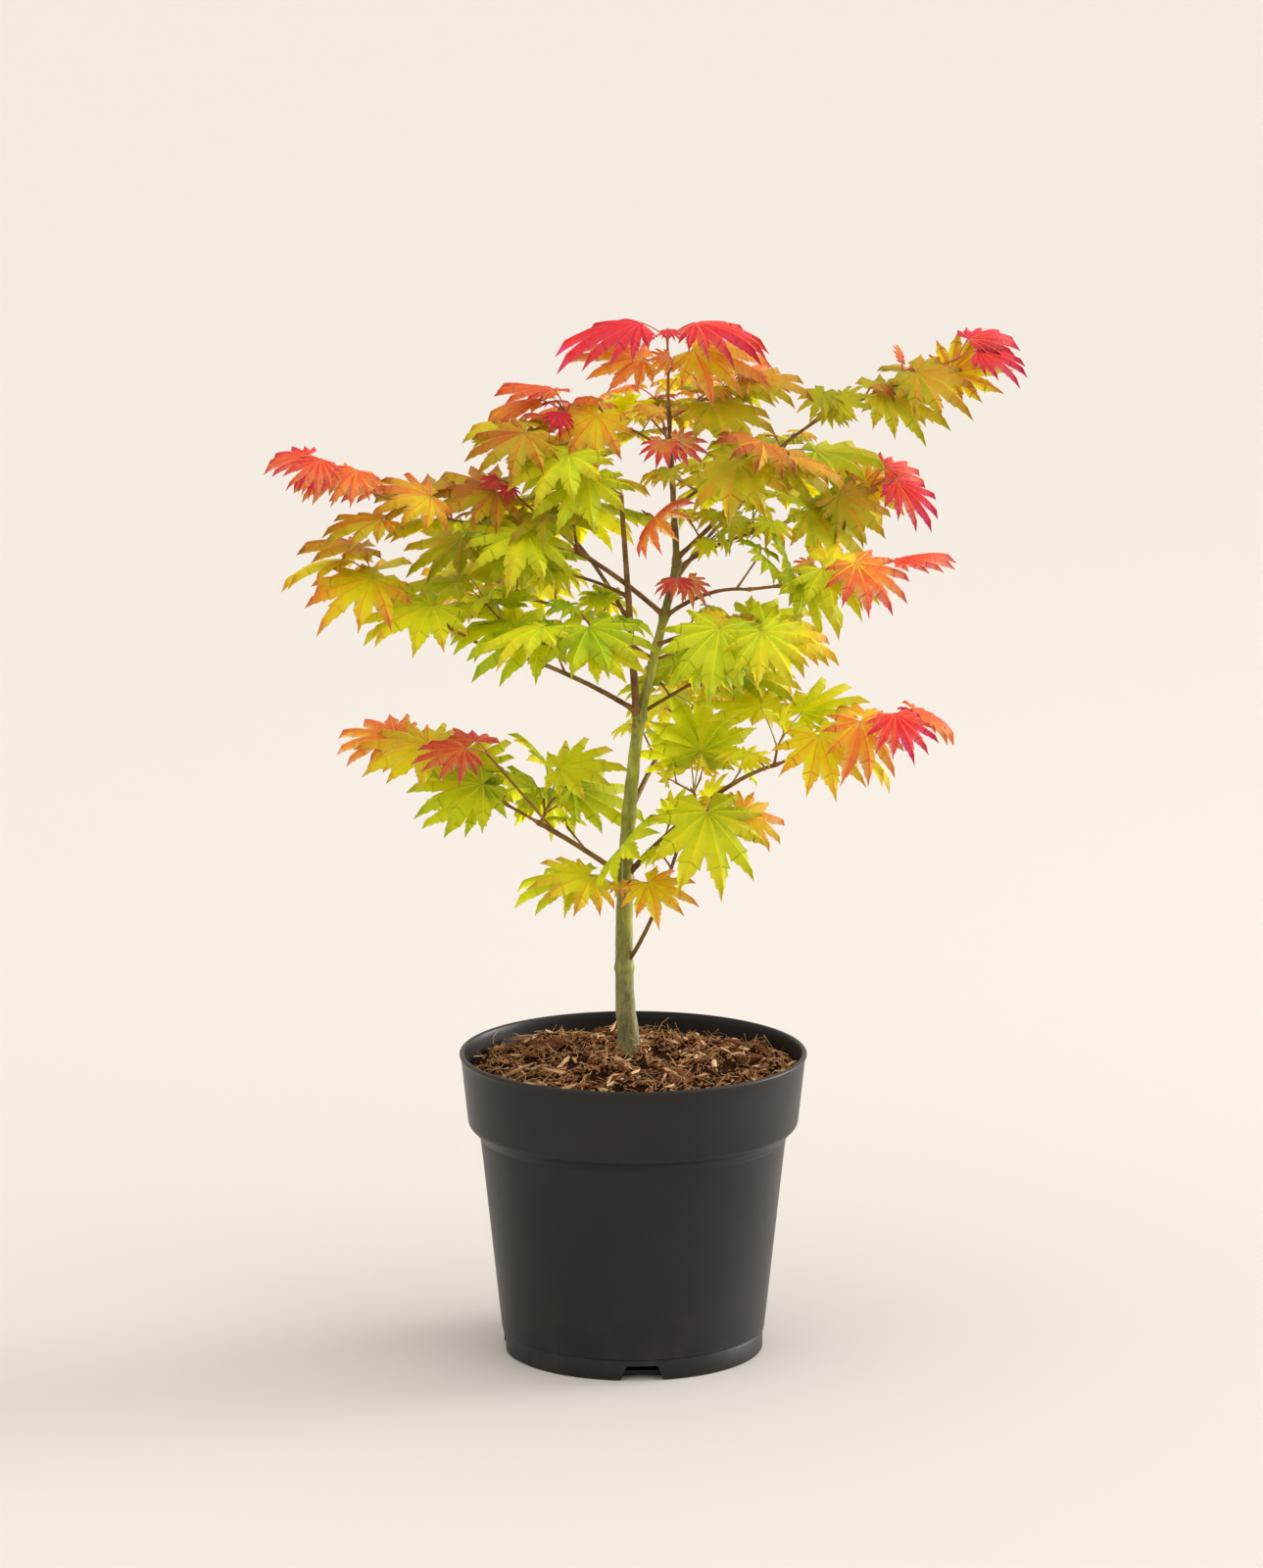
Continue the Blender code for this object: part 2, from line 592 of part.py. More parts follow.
def fit_leaf(spray, joint, stem_heading, side, share, length, rng, taken, other_stems):
    spread = spray.spread * (1 - END_SPREAD_LOSS * share)
    size = length * rng.uniform(*LEAF_SIZES)
    reach = spray.stalk * MM * rng.uniform(*STALK_SIZES)
    for attempt in range(TRIES):
        turn = FIRST_TURN + TURN_STEP * attempt
        heading = stem_heading + side * spread + rng.uniform(-turn, turn)
        lift = spray.lift + rng.uniform(-turn, turn)
        hang = spray.hang + rng.uniform(-turn, turn)
        roll = rng.uniform(-turn, turn)
        centre = joint + direction(heading, lift) * reach
        blade_turn = blade_frame(spray.lean, heading + rng.uniform(-BLADE_TWIST, BLADE_TWIST), hang, roll)
        blade = leaf_blade(centre, blade_turn, size, spray.droop)
        clear_start = joint.lerp(centre, SHARED_STALK)
        stalk_end = prism(clear_start, centre, STALK_RADIUS, STALK_RADIUS)
        blade_tree = shape_tree(blade)
        stalk_tree = shape_tree(stalk_end)
        if any(tree.overlap(blade_tree) or tree.overlap(stalk_tree) for tree in taken + other_stems):
            continue
        return Leaf(joint, centre, blade, stalk_end)
    return None


def shape_object(collection, name, shape, material):
    points, faces = shape
    mesh = bpy.data.meshes.new(name)
    mesh.from_pydata([tuple(point) for point in points], [], faces)
    return link(collection, name, mesh, material)


def make_spray(collection, spray, joints, leaves, shells, material):
    """Fuses a spray's stem, stalks and blades into one solid and cuts it clear of its bough."""
    pieces = bpy.data.collections.new(spray.name + "_pieces")
    bpy.context.scene.collection.children.link(pieces)
    sticks = []
    steps = len(joints) - 1
    for index in range(steps):
        radii = [STEM_RADIUS + (STEM_TIP_RADIUS - STEM_RADIUS) * (index + end) / steps for end in (0, 1)]
        past = (joints[index + 1] - joints[index]).normalized() * STEM_TIP_RADIUS
        sticks.append(prism(joints[index], joints[index + 1] + past, *radii))
    for leaf in leaves:
        short = (leaf.centre - leaf.joint).normalized() * STALK_END
        sticks.append(prism(leaf.joint, leaf.centre - short, STALK_RADIUS, STALK_RADIUS))
    shapes = sticks[1:] + [leaf.blade for leaf in leaves]
    for index, shape in enumerate(shapes):
        shape_object(pieces, f"{spray.name}_piece_{index}", shape, material)
    obj = shape_object(collection, spray.name, sticks[0], material)
    union = obj.modifiers.new("fuse", "BOOLEAN")
    union.operation = "UNION"
    union.operand_type = "COLLECTION"
    union.collection = pieces
    union.solver = "MANIFOLD"
    bpy.context.view_layer.update()
    apply_modifiers(obj)
    for piece in list(pieces.objects):
        bpy.data.objects.remove(piece)
    bpy.data.collections.remove(pieces)
    for shell in shells.values():
        cut_clear(obj, shell)
    keep_largest_piece(obj)
    return obj


def main():
    clear_scene()
    plant = new_collection("potted_maple")
    cutters = new_collection("cutters")
    pot_material = new_material("charcoal_plastic", CHARCOAL, 0.45)
    soil_material = new_material("potting_mix", MIX_BROWN, 0.95)
    olive = new_material("olive_bark", OLIVE_BARK, 0.70)
    red = new_material("red_bark", RED_BARK, 0.60)

    make_pot(plant, cutters, pot_material)
    make_soil(plant, soil_material)

    lines = {}
    for limb in LIMBS:
        lines[limb.name] = limb_line(limb, lines)
    stems = ("trunk", "leader", "leader_top")
    bark = {limb.name: olive if limb.name in stems else red for limb in LIMBS}
    shells = make_limbs(plant, cutters, lines, bark)

    generators = {spray.name: random.Random(spray.name) for spray in SPRAYS}
    stem_joints = {}
    stem_trees = {}
    for spray in SPRAYS:
        joints = spray_joints(spray, lines, generators[spray.name])
        stem_joints[spray.name] = joints
        fat = STEM_RADIUS * ROUND_COVER
        runs = zip(joints, joints[1:])
        stem_trees[spray.name] = [shape_tree(prism(low, high, fat, fat)) for low, high in runs]
    taken = limb_trees(lines)
    for spray in SPRAYS:
        others = [tree for name, trees in stem_trees.items() if name != spray.name for tree in trees]
        leaves = grow_leaves(spray, stem_joints[spray.name], generators[spray.name], taken, others)
        tint = turning_colour((spray.turned + spray.last_turned) / 2)
        material = new_material(spray.name, tint, 0.55)
        make_spray(plant, spray, stem_joints[spray.name], leaves, shells, material)
        print(spray.name, len(leaves), "leaves")
    bpy.context.view_layer.update()


main()
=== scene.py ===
"""A young full-moon maple in a round nursery pot, its leaves turning for autumn.

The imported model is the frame: metres, +Z up, the front at -Y, the origin under the middle of the pot. The
script goes the way the plant stands: room, pot, potting mix, trunk, boughs, twigs, stalks, buds and leaves.
"""

import json
import math
import random
from collections import namedtuple

import bmesh
import bpy
from mathutils import Matrix, Vector, noise
from mathutils.bvhtree import BVHTree

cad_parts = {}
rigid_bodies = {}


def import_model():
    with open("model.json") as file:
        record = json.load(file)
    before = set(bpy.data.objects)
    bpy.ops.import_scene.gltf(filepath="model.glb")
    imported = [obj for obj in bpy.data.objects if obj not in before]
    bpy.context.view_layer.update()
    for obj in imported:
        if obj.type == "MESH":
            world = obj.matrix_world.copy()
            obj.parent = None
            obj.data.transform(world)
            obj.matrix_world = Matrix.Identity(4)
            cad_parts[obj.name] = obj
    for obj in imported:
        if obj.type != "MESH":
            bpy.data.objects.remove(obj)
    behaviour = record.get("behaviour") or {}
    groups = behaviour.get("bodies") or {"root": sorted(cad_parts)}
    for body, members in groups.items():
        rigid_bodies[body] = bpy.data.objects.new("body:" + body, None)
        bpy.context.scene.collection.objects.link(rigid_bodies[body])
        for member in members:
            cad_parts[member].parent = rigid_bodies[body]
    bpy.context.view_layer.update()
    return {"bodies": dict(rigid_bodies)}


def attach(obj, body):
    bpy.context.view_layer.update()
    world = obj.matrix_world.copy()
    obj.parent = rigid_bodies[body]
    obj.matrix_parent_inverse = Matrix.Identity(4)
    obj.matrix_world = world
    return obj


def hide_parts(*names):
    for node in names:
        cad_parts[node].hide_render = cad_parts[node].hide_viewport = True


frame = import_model()
BODY = next(iter(frame["bodies"]))


# ---------------------------------------------------------------- room
# The plant stands on a pale matt studio floor that runs out past every view. A cream room and a broad light
# from above give most of the light; two lights on the right model the plant, a weak one on the left fills
# its shadow side, and a lamp overhead brightens the floor.

CAMERA_PLACE = (-0.0009, -3.6457, 1.0549)
CAMERA_PITCH = 11.47
CAMERA_LENS = 157.5
SENSOR_WIDTH = 36.0
FLOOR_RADIUS = 60.0
FLOOR_DROP = 0.0002
FLOOR_COLOUR = (0.631, 0.604, 0.577)
ROOM_COLOUR = (1.0, 0.926, 0.848)
ROOM_STRENGTH = 0.86
LAMP_COLOUR = (1.0, 0.995, 0.985)
SOFT_LIGHTS = [
    ("top_light", (0.25, -0.10, 1.00), 0.95, 90),
    ("key_light", (1.0, -0.34, 0.62), 0.50, 60),
    ("side_light", (1.0, 0.34, 0.11), 3.60, 30),
    ("fill_light", (-0.75, -0.55, 0.40), 0.40, 80),
]
OVERHEAD_PLACE = (1.7, 0.5, 2.2)
OVERHEAD_SIZE = 1.2
OVERHEAD_POWER = 11.0


def add_node(tree, kind, inputs=None, **settings):
    """Adds a node, sets its properties, and sets or links its inputs by name or number."""
    node = tree.nodes.new(kind)
    for name, value in settings.items():
        setattr(node, name, value)
    for key, value in (inputs or {}).items():
        if isinstance(value, bpy.types.NodeSocket):
            tree.links.new(value, node.inputs[key])
        else:
            node.inputs[key].default_value = value
    return node


def new_material(name, colour, roughness, **settings):
    """A Principled material with plain values; returns it with its tree and shader."""
    material = bpy.data.materials.new(name)
    material.use_nodes = True
    material.diffuse_color = (*colour, 1.0)
    tree = material.node_tree
    shader = tree.nodes["Principled BSDF"]
    shader.inputs["Base Color"].default_value = (*colour, 1.0)
    shader.inputs["Roughness"].default_value = roughness
    for key, value in settings.items():
        shader.inputs[key.replace("_", " ")].default_value = value
    return material, tree, shader


def stand(name, data):
    """Puts a new object with its data into the scene."""
    obj = bpy.data.objects.new(name, data)
    bpy.context.scene.collection.objects.link(obj)
    return obj


def new_object(name, mesh, *materials):
    mesh.materials.clear()
    for material in materials:
        mesh.materials.append(material)
    return stand(name, mesh)


def as_mesh(bm, name):
    """Ends a shape that is being built as a plain mesh."""
    mesh = bpy.data.meshes.new(name)
    bm.to_mesh(mesh)
    bm.free()
    return mesh


def make_floor():
    bm = bmesh.new()
    bmesh.ops.create_circle(bm, cap_ends=True, segments=96, radius=FLOOR_RADIUS)
    bmesh.ops.translate(bm, verts=bm.verts, vec=(0, 0, -FLOOR_DROP))
    material, tree, shader = new_material("studio_floor", FLOOR_COLOUR, 0.95, Specular_IOR_Level=0.1)
    coordinates = add_node(tree, "ShaderNodeTexCoord")
    grain = add_node(tree, "ShaderNodeTexNoise", {"Vector": coordinates.outputs["Object"], "Scale": 60.0})
    bump = add_node(tree, "ShaderNodeBump", {"Height": grain.outputs["Fac"], "Strength": 0.02})
    tree.links.new(bump.outputs["Normal"], shader.inputs["Normal"])
    return new_object("studio_floor", as_mesh(bm, "studio_floor"), material)


def make_soft_light(name, towards, strength, angle):
    light = bpy.data.lights.new(name, "SUN")
    light.energy = strength
    light.angle = math.radians(angle)
    light.color = LAMP_COLOUR
    stand(name, light).rotation_euler = Vector(towards).to_track_quat("Z", "Y").to_euler()


def make_overhead_lamp():
    lamp = bpy.data.lights.new("overhead_lamp", "AREA")
    lamp.shape = "DISK"
    lamp.size = OVERHEAD_SIZE
    lamp.energy = OVERHEAD_POWER
    lamp.color = LAMP_COLOUR
    stand("overhead_lamp", lamp).location = OVERHEAD_PLACE


def make_camera():
    camera = stand("camera", bpy.data.cameras.new("camera"))
    camera.data.lens = CAMERA_LENS
    camera.data.sensor_width = SENSOR_WIDTH
    camera.location = CAMERA_PLACE
    camera.rotation_euler = (math.radians(90 - CAMERA_PITCH), 0, 0)
    bpy.context.scene.camera = camera


def light_room():
    world = bpy.data.worlds.new("cream_room")
    world.use_nodes = True
    background = world.node_tree.nodes["Background"]
    background.inputs["Color"].default_value = (*ROOM_COLOUR, 1.0)
    background.inputs["Strength"].default_value = ROOM_STRENGTH
    bpy.context.scene.world = world
    bpy.context.scene.view_settings.view_transform = "Standard"
    for soft_light in SOFT_LIGHTS:
        make_soft_light(*soft_light)
    make_overhead_lamp()


make_floor()
light_room()
make_camera()


# ---------------------------------------------------------------- pot
# A three-litre grower's pot, injection moulded in one piece from charcoal polypropylene: a rolled lip, a
# deep collar, a plain tapering body and a foot band, with four drainage notches cut into the foot.

RIM_RADIUS = 0.0950
POT_HEIGHT = 0.1665
LIP_ROUND = 0.0014
FOOT_CURL = 0.0052
SEAM = 0.00025
COLLAR_TOP = (0.0940, 0.1622)
COLLAR_FOOT = (0.0905, 0.1267)
SHOULDER = (0.0835, 0.1188)
SHOULDER_ROLL = [(0.0006, 0.0010), (0.0002, 0.0004), (SEAM, 0.0), (SEAM, -SEAM)]
BODY_START = 0.001
BASE_RADIUS = 0.0722
FOOT_BAND_HEIGHT = 0.0115
FOOT_BAND_RADIUS = 0.0714
BAND_ROLL = [(BASE_RADIUS - FOOT_BAND_RADIUS, 0.0003), (-0.0002, -0.0004), (0.0, -0.0010)]
FOOT_ROUND = 0.0010
FOOT_RING = 0.0090
RING_SLOPE = 0.001
RECESS = 0.0009
WALL = 0.0020
POT_FLOOR = 0.0030
POT_SIDES = 160
NOTCH_COUNT = 4
NOTCH_TURN = 274.0
NOTCH_WIDTH = 0.0236
NOTCH_TOP_WIDTH = 0.0168
NOTCH_HEIGHT = 0.0081
NOTCH_DEPTH = 0.0100
NOTCH_PAST = 0.0040
NOTCH_BELOW = 0.002
MERGE = 0.00002
SHARP_FROM = 38
PLASTIC = (0.016, 0.014, 0.0125)
PLASTIC_DARK = (0.0078, 0.0063, 0.0058)
PLASTIC_PALE = (0.0145, 0.0114, 0.0103)
DRY_DUST = (0.060, 0.048, 0.038, 1.0)


def arc(centre, radius, start, end, steps):
    """Points round part of a circle in the (radius, height) plane, angles in degrees from outward."""
    turns = [math.radians(start + (end - start) * i / steps) for i in range(steps + 1)]
    return [(centre[0] + radius * math.cos(t), centre[1] + radius * math.sin(t)) for t in turns]


def straight(start, end, steps):
    shares = [i / steps for i in range(1, steps)]
    return [(start[0] + (end[0] - start[0]) * s, start[1] + (end[1] - start[1]) * s) for s in shares]


def pot_profile():
    """From the middle of the inside floor up the wall, over the lip, and down the outside."""
    inside = [(0.0, POT_FLOOR)]
    corners = ((FOOT_BAND_RADIUS, POT_FLOOR), SHOULDER, COLLAR_FOOT, COLLAR_TOP)
    inside += [(radius - WALL, height) for radius, height in corners]
    lip = arc((RIM_RADIUS - LIP_ROUND, POT_HEIGHT - LIP_ROUND), LIP_ROUND, 165, -50, 12)
    collar = [COLLAR_TOP] + straight(COLLAR_TOP, (COLLAR_FOOT[0], COLLAR_FOOT[1] + FOOT_CURL / 2), 6)
    collar_foot = arc((COLLAR_FOOT[0] - FOOT_CURL, COLLAR_FOOT[1] + FOOT_CURL / 2), FOOT_CURL, 0, -62, 10)
    shoulder = [(SHOULDER[0] + out, SHOULDER[1] + up) for out, up in SHOULDER_ROLL]
    body = straight((SHOULDER[0], SHOULDER[1] - BODY_START), (BASE_RADIUS, FOOT_BAND_HEIGHT), 8)
    band = [(FOOT_BAND_RADIUS + out, FOOT_BAND_HEIGHT + up) for out, up in BAND_ROLL]
    foot = arc((FOOT_BAND_RADIUS - FOOT_ROUND, FOOT_ROUND), FOOT_ROUND, 0, -90, 5)
    ring = FOOT_BAND_RADIUS - FOOT_RING
    under = [(ring, 0.0), (ring - RING_SLOPE, RECESS), (0.0, RECESS)]
    return inside + lip + collar + collar_foot + shoulder + body + band + foot + under


def made_plain(obj):
    """Keeps what the object's modifiers make as its own plain mesh."""
    evaluated = obj.evaluated_get(bpy.context.evaluated_depsgraph_get())
    mesh = bpy.data.meshes.new_from_object(evaluated)
    mesh.name = obj.name
    obj.modifiers.clear()
    obj.data = mesh
    return obj


def turned(name, profile, sides, material):
    """A profile of (radius, height) points turned round the Z axis, as a closed plain mesh."""
    mesh = bpy.data.meshes.new(name)
    points = [(radius, 0.0, height) for radius, height in profile]
    mesh.from_pydata(points, [(i, i + 1) for i in range(len(points) - 1)], [])
    obj = new_object(name, mesh, material)
    screw = obj.modifiers.new("turn", "SCREW")
    screw.steps = sides
    screw.render_steps = sides
    screw.use_merge_vertices = True
    screw.merge_threshold = MERGE
    made_plain(obj)
    bm = bmesh.new()
    bm.from_mesh(obj.data)
    bmesh.ops.remove_doubles(bm, verts=bm.verts, dist=MERGE)
    bmesh.ops.recalc_face_normals(bm, faces=bm.faces)
    bm.to_mesh(obj.data)
    bm.free()
    return obj


def notch_cutter(turn):
    """A block the depth of a notch, wider at its foot, that reaches out past the foot band."""
    slant = (NOTCH_WIDTH - NOTCH_TOP_WIDTH) / NOTCH_HEIGHT
    bm = bmesh.new()
    bmesh.ops.create_cube(bm, size=1.0)
    for vertex in bm.verts:
        top = vertex.co.z > 0
        width = NOTCH_TOP_WIDTH if top else NOTCH_WIDTH + slant * NOTCH_BELOW
        outward = FOOT_BAND_RADIUS + (NOTCH_PAST if vertex.co.x > 0 else -NOTCH_DEPTH)
        height = NOTCH_HEIGHT if top else -NOTCH_BELOW
        vertex.co = Vector((outward, math.copysign(width / 2, vertex.co.y), height))
    bmesh.ops.rotate(bm, verts=bm.verts, matrix=Matrix.Rotation(math.radians(turn), 3, "Z"))
    return new_object("notch_cutter", as_mesh(bm, "notch_cutter"))


def result(tree, kind, inputs=None, output=0, **settings):
    """Adds a node and returns one of its outputs, by name or number."""
    return add_node(tree, kind, inputs, **settings).outputs[output]


def calculate(tree, operation, *values):
    return result(tree, "ShaderNodeMath", dict(enumerate(values)), operation=operation)


def between(tree, value, low, high, from_low=0.0, from_high=1.0):
    """Carries a value from one range over to another, here from low to high."""
    return result(tree, "ShaderNodeMapRange", {0: value, 1: from_low, 2: from_high, 3: low, 4: high})


def blend(tree, share, first, second):
    """A colour between two."""
    return result(tree, "ShaderNodeMix", {0: share, 6: first, 7: second}, 2, data_type="RGBA")


def cloud(tree, place, scale, detail=2.0, roughness=0.5, output="Fac"):
    """A soft noise at a place."""
    inputs = {"Vector": place, "Scale": scale, "Detail": detail, "Roughness": roughness}
    return result(tree, "ShaderNodeTexNoise", inputs, output)


def object_place(tree):
    return result(tree, "ShaderNodeTexCoord", output="Object")


def height_of(tree, place):
    return result(tree, "ShaderNodeSeparateXYZ", {"Vector": place}, "Z")


def connect(tree, sockets, **values):
    """Links values to sockets by the sockets' names."""
    for name, value in values.items():
        tree.links.new(value, sockets[name.replace("_", " ")])


def new_group(name, inputs, outputs):
    """A shader node group with named sockets, given as (name, kind, default)."""
    group = bpy.data.node_groups.new(name, "ShaderNodeTree")
    for in_out, sockets in (("INPUT", inputs), ("OUTPUT", outputs)):
        for socket_name, kind, default in sockets:
            socket = group.interface.new_socket(socket_name, in_out=in_out, socket_type="NodeSocket" + kind)
            if default is not None:
                socket.default_value = default
    return group, group.nodes.new("NodeGroupInput").outputs, group.nodes.new("NodeGroupOutput").inputs


def make_mottle():
    """Soft blotches with fine grain over them: a colour between two, a height and a mask."""
    group, given, out = new_group(
        "mottle",
        [
            ("Vector", "Vector", None),
            ("Blotch Scale", "Float", 20.0),
            ("Grain Scale", "Float", 600.0),
            ("Grain Share", "Float", 0.3),
            ("Low", "Color", (0, 0, 0, 1)),
            ("High", "Color", (1, 1, 1, 1)),
        ],
        [("Color", "Color", None), ("Height", "Float", None), ("Mask", "Float", None)],
    )
    blotch = cloud(group, given["Vector"], given["Blotch Scale"], 4.0, 0.55)
    grain = cloud(group, given["Vector"], given["Grain Scale"], 3.0, 0.6)
    height = result(group, "ShaderNodeMix", {0: given["Grain Share"], 2: blotch, 3: grain})
    mask = between(group, height, 0.0, 1.0, 0.35, 0.65)
    connect(group, out, Color=blend(group, mask, given["Low"], given["High"]), Height=height, Mask=mask)
    return group


MOTTLE = make_mottle()


def add_mottle(tree, place, blotch_scale, grain_scale, grain_share, low, high):
    """The mottle's outputs, with its own scales and its darker and paler colour."""
    inputs = {
        "Vector": place,
        "Blotch Scale": blotch_scale,
        "Grain Scale": grain_scale,
        "Grain Share": grain_share,
        "Low": (*low, 1.0),
        "High": (*high, 1.0),
    }
    return add_node(tree, "ShaderNodeGroup", inputs, node_tree=MOTTLE).outputs


def add_relief(tree, shader, skin, strength, depth, roughness):
    """The skin's height as relief, and a roughness that its mask carries from one value to another."""
    bump = result(tree, "ShaderNodeBump", {"Height": skin["Height"], "Strength": strength, "Distance": depth})
    connect(tree, shader.inputs, Normal=bump, Roughness=between(tree, skin["Mask"], *roughness))


def charcoal_plastic():
    """Matt moulded plastic: a fine grain, soft handling marks, and dry dust towards the foot."""
    material, tree, shader = new_material("charcoal_plastic", PLASTIC, 0.42, Specular_IOR_Level=0.30)
    place = object_place(tree)
    skin = add_mottle(tree, place, 14.0, 1400.0, 0.25, PLASTIC_DARK, PLASTIC_PALE)
    low_down = between(tree, height_of(tree, place), 0.0, 0.35, 0.05, 0.0)
    spots = between(tree, cloud(tree, place, 55.0, 6.0), 0.0, 1.0, 0.5, 0.75)
    dusty = calculate(tree, "MULTIPLY", low_down, spots)
    connect(tree, shader.inputs, Base_Color=blend(tree, dusty, skin["Color"], DRY_DUST))
    add_relief(tree, shader, skin, 0.10, 0.0006, (0.36, 0.46))
    return material


pot = turned("nursery_pot", pot_profile(), POT_SIDES, charcoal_plastic())
for index in range(NOTCH_COUNT):
    cutter = notch_cutter(NOTCH_TURN + index * 360.0 / NOTCH_COUNT)
    cut = pot.modifiers.new("notch", "BOOLEAN")
    cut.operation = "DIFFERENCE"
    cut.solver = "EXACT"
    cut.object = cutter
    bpy.context.view_layer.update()
    made_plain(pot)
    bpy.data.objects.remove(cutter)
pot.data.shade_smooth()
pot.data.set_sharp_from_angle(angle=math.radians(SHARP_FROM))
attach(pot, BODY)
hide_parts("pot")


# ---------------------------------------------------------------- potting mix
# Coir and composted bark, tipped in round the roots and pressed down: a low mound with a loose top of dark
# crumbs, flat bark chips and tangled fibres, which lie on it by their own weight.

SOIL_TOP = 0.1610
SOIL_EDGE = 0.1545
SOIL_FLAT_RADIUS = 0.0350
SOIL_GAP = 0.0003
SOIL_OVER_NOTCH = 0.0015
SOIL_MARGIN = 0.0030
SOIL_LUMP = 0.0036
COARSE_LUMPS = 85
FINE_LUMPS = 270
FINE_LUMP_SHARE = 0.6
SOIL_RINGS = 46
SOIL_SECTORS = 140
SOIL_SIDE_DROP = 0.006
SOIL_STEEPEST = 0.2
# Bed colours: the mix's own dark brown, darkened further as painted shade in the hollows between pieces.
MIX_DARK_AND_SHADE = (0.006, 0.003, 0.002)
MIX_BROWN_AND_SHADE = (0.045, 0.018, 0.009)
CLUMPS = (-0.10, 0.35)
CROWDING = (0.03, 1.6)


def soil_lumps(x, y):
    coarse = noise.noise(Vector((x, y, 0)) * COARSE_LUMPS)
    return coarse + FINE_LUMP_SHARE * noise.noise(Vector((x, y, 3)) * FINE_LUMPS)


def soil_height(x, y):
    radius = math.hypot(x, y)
    wall = COLLAR_TOP[0] - WALL
    share = min(1.0, max(0.0, (radius - SOIL_FLAT_RADIUS) / (wall - SOIL_FLAT_RADIUS)))
    fall = share * share * (3 - 2 * share)
    return SOIL_TOP + (SOIL_EDGE - SOIL_TOP) * fall + SOIL_LUMP * soil_lumps(x, y)


def wall_inside(height):
    low, high = COLLAR_FOOT, COLLAR_TOP
    share = (height - low[1]) / (high[1] - low[1])
    return low[0] + (high[0] - low[0]) * share - WALL - SOIL_GAP


def make_soil_bed():
    """The whole fill as one closed body, from above the drainage notches to its lumpy top."""
    edge = wall_inside(SOIL_EDGE + SOIL_LUMP)
    circles = [(edge * ring / SOIL_RINGS, None) for ring in range(1, SOIL_RINGS + 1)]
    for radius, height in (COLLAR_FOOT, SHOULDER, (FOOT_BAND_RADIUS, NOTCH_HEIGHT + SOIL_OVER_NOTCH)):
        circles.append((radius - WALL - SOIL_GAP, height))
    turns = [2 * math.pi * sector / SOIL_SECTORS for sector in range(SOIL_SECTORS)]
    bm = bmesh.new()
    middle = bm.verts.new((0, 0, soil_height(0, 0)))
    rings = []
    for radius, height in circles:
        ring = []
        for turn in turns:
            x, y = radius * math.cos(turn), radius * math.sin(turn)
            ring.append(bm.verts.new((x, y, soil_height(x, y) if height is None else height)))
        rings.append(ring)
    for first, second in zip(rings, rings[1:]):
        for sector in range(SOIL_SECTORS):
            following = (sector + 1) % SOIL_SECTORS
            bm.faces.new((first[sector], second[sector], second[following], first[following]))
    for sector in range(SOIL_SECTORS):
        bm.faces.new((middle, rings[0][sector], rings[0][(sector + 1) % SOIL_SECTORS]))
    bm.faces.new(list(reversed(rings[-1])))
    bmesh.ops.recalc_face_normals(bm, faces=bm.faces)
    mesh = as_mesh(bm, "potting_mix_bed")
    mesh.shade_smooth()
    return mesh


def crumbly(name, low, high, roughness=0.95):
    """Dry organic matter: brown blotches, a rough broken surface and no shine."""
    material, tree, shader = new_material(name, high, roughness, Specular_IOR_Level=0.06)
    skin = add_mottle(tree, object_place(tree), 130.0, 900.0, 0.45, low, high)
    connect(tree, shader.inputs, Base_Color=skin["Color"])
    add_relief(tree, shader, skin, 0.9, 0.002, (roughness - 0.1, roughness))
    return material


def new_geometry_tree(name, **sizes):
    """A geometry tree that takes a geometry, the named sizes and a material, and gives a geometry."""
    tree = bpy.data.node_groups.new(name, "GeometryNodeTree")
    for in_out in ("INPUT", "OUTPUT"):
        tree.interface.new_socket("Geometry", in_out=in_out, socket_type="NodeSocketGeometry")
    for size, value in sizes.items():
        kind = "NodeSocketInt" if isinstance(value, int) else "NodeSocketFloat"
        socket = tree.interface.new_socket(size.replace("_", " "), in_out="INPUT", socket_type=kind)
        socket.default_value = value
    tree.interface.new_socket("Material", in_out="INPUT", socket_type="NodeSocketMaterial")
    return tree, tree.nodes.new("NodeGroupInput").outputs, tree.nodes.new("NodeGroupOutput").inputs


def finish_tree(tree, geometry, given, out):
    """Ends a geometry tree in real pieces with their material on."""
    real = result(tree, "GeometryNodeRealizeInstances", {"Geometry": geometry})
    covered = result(tree, "GeometryNodeSetMaterial", {"Geometry": real, "Material": given["Material"]})
    connect(tree, out, Geometry=covered)
    return tree


def grow(obj, tree, values):
    """Runs a geometry tree on an object and keeps the result as the object's plain mesh."""
    modifier = obj.modifiers.new(tree.name, "NODES")
    modifier.node_group = tree
    for item in tree.interface.items_tree:
        if item.in_out == "INPUT" and item.name in values:
            modifier[item.identifier] = values[item.name]
    obj.update_tag()
    bpy.context.view_layer.update()
    return made_plain(obj)


def calculate_vector(tree, operation, first, second):
    other = "Scale" if operation == "SCALE" else 1
    return result(tree, "ShaderNodeVectorMath", {0: first, other: second}, operation=operation)


def combine(tree, **parts):
    return result(tree, "ShaderNodeCombineXYZ", parts)


def random_value(tree, low, high, seed):
    return result(tree, "FunctionNodeRandomValue", {2: low, 3: high, "Seed": seed}, 1, data_type="FLOAT")


def carried(tree, name, kind):
    """What the surface's or the line's points carry under a name."""
    return result(tree, "GeometryNodeInputNamedAttribute", {"Name": name}, "Attribute", data_type=kind)


def moved(tree, geometry, **how):
    """Shifts a geometry's points by an Offset, or puts them at a Position."""
    return result(tree, "GeometryNodeSetPosition", {"Geometry": geometry, **how})


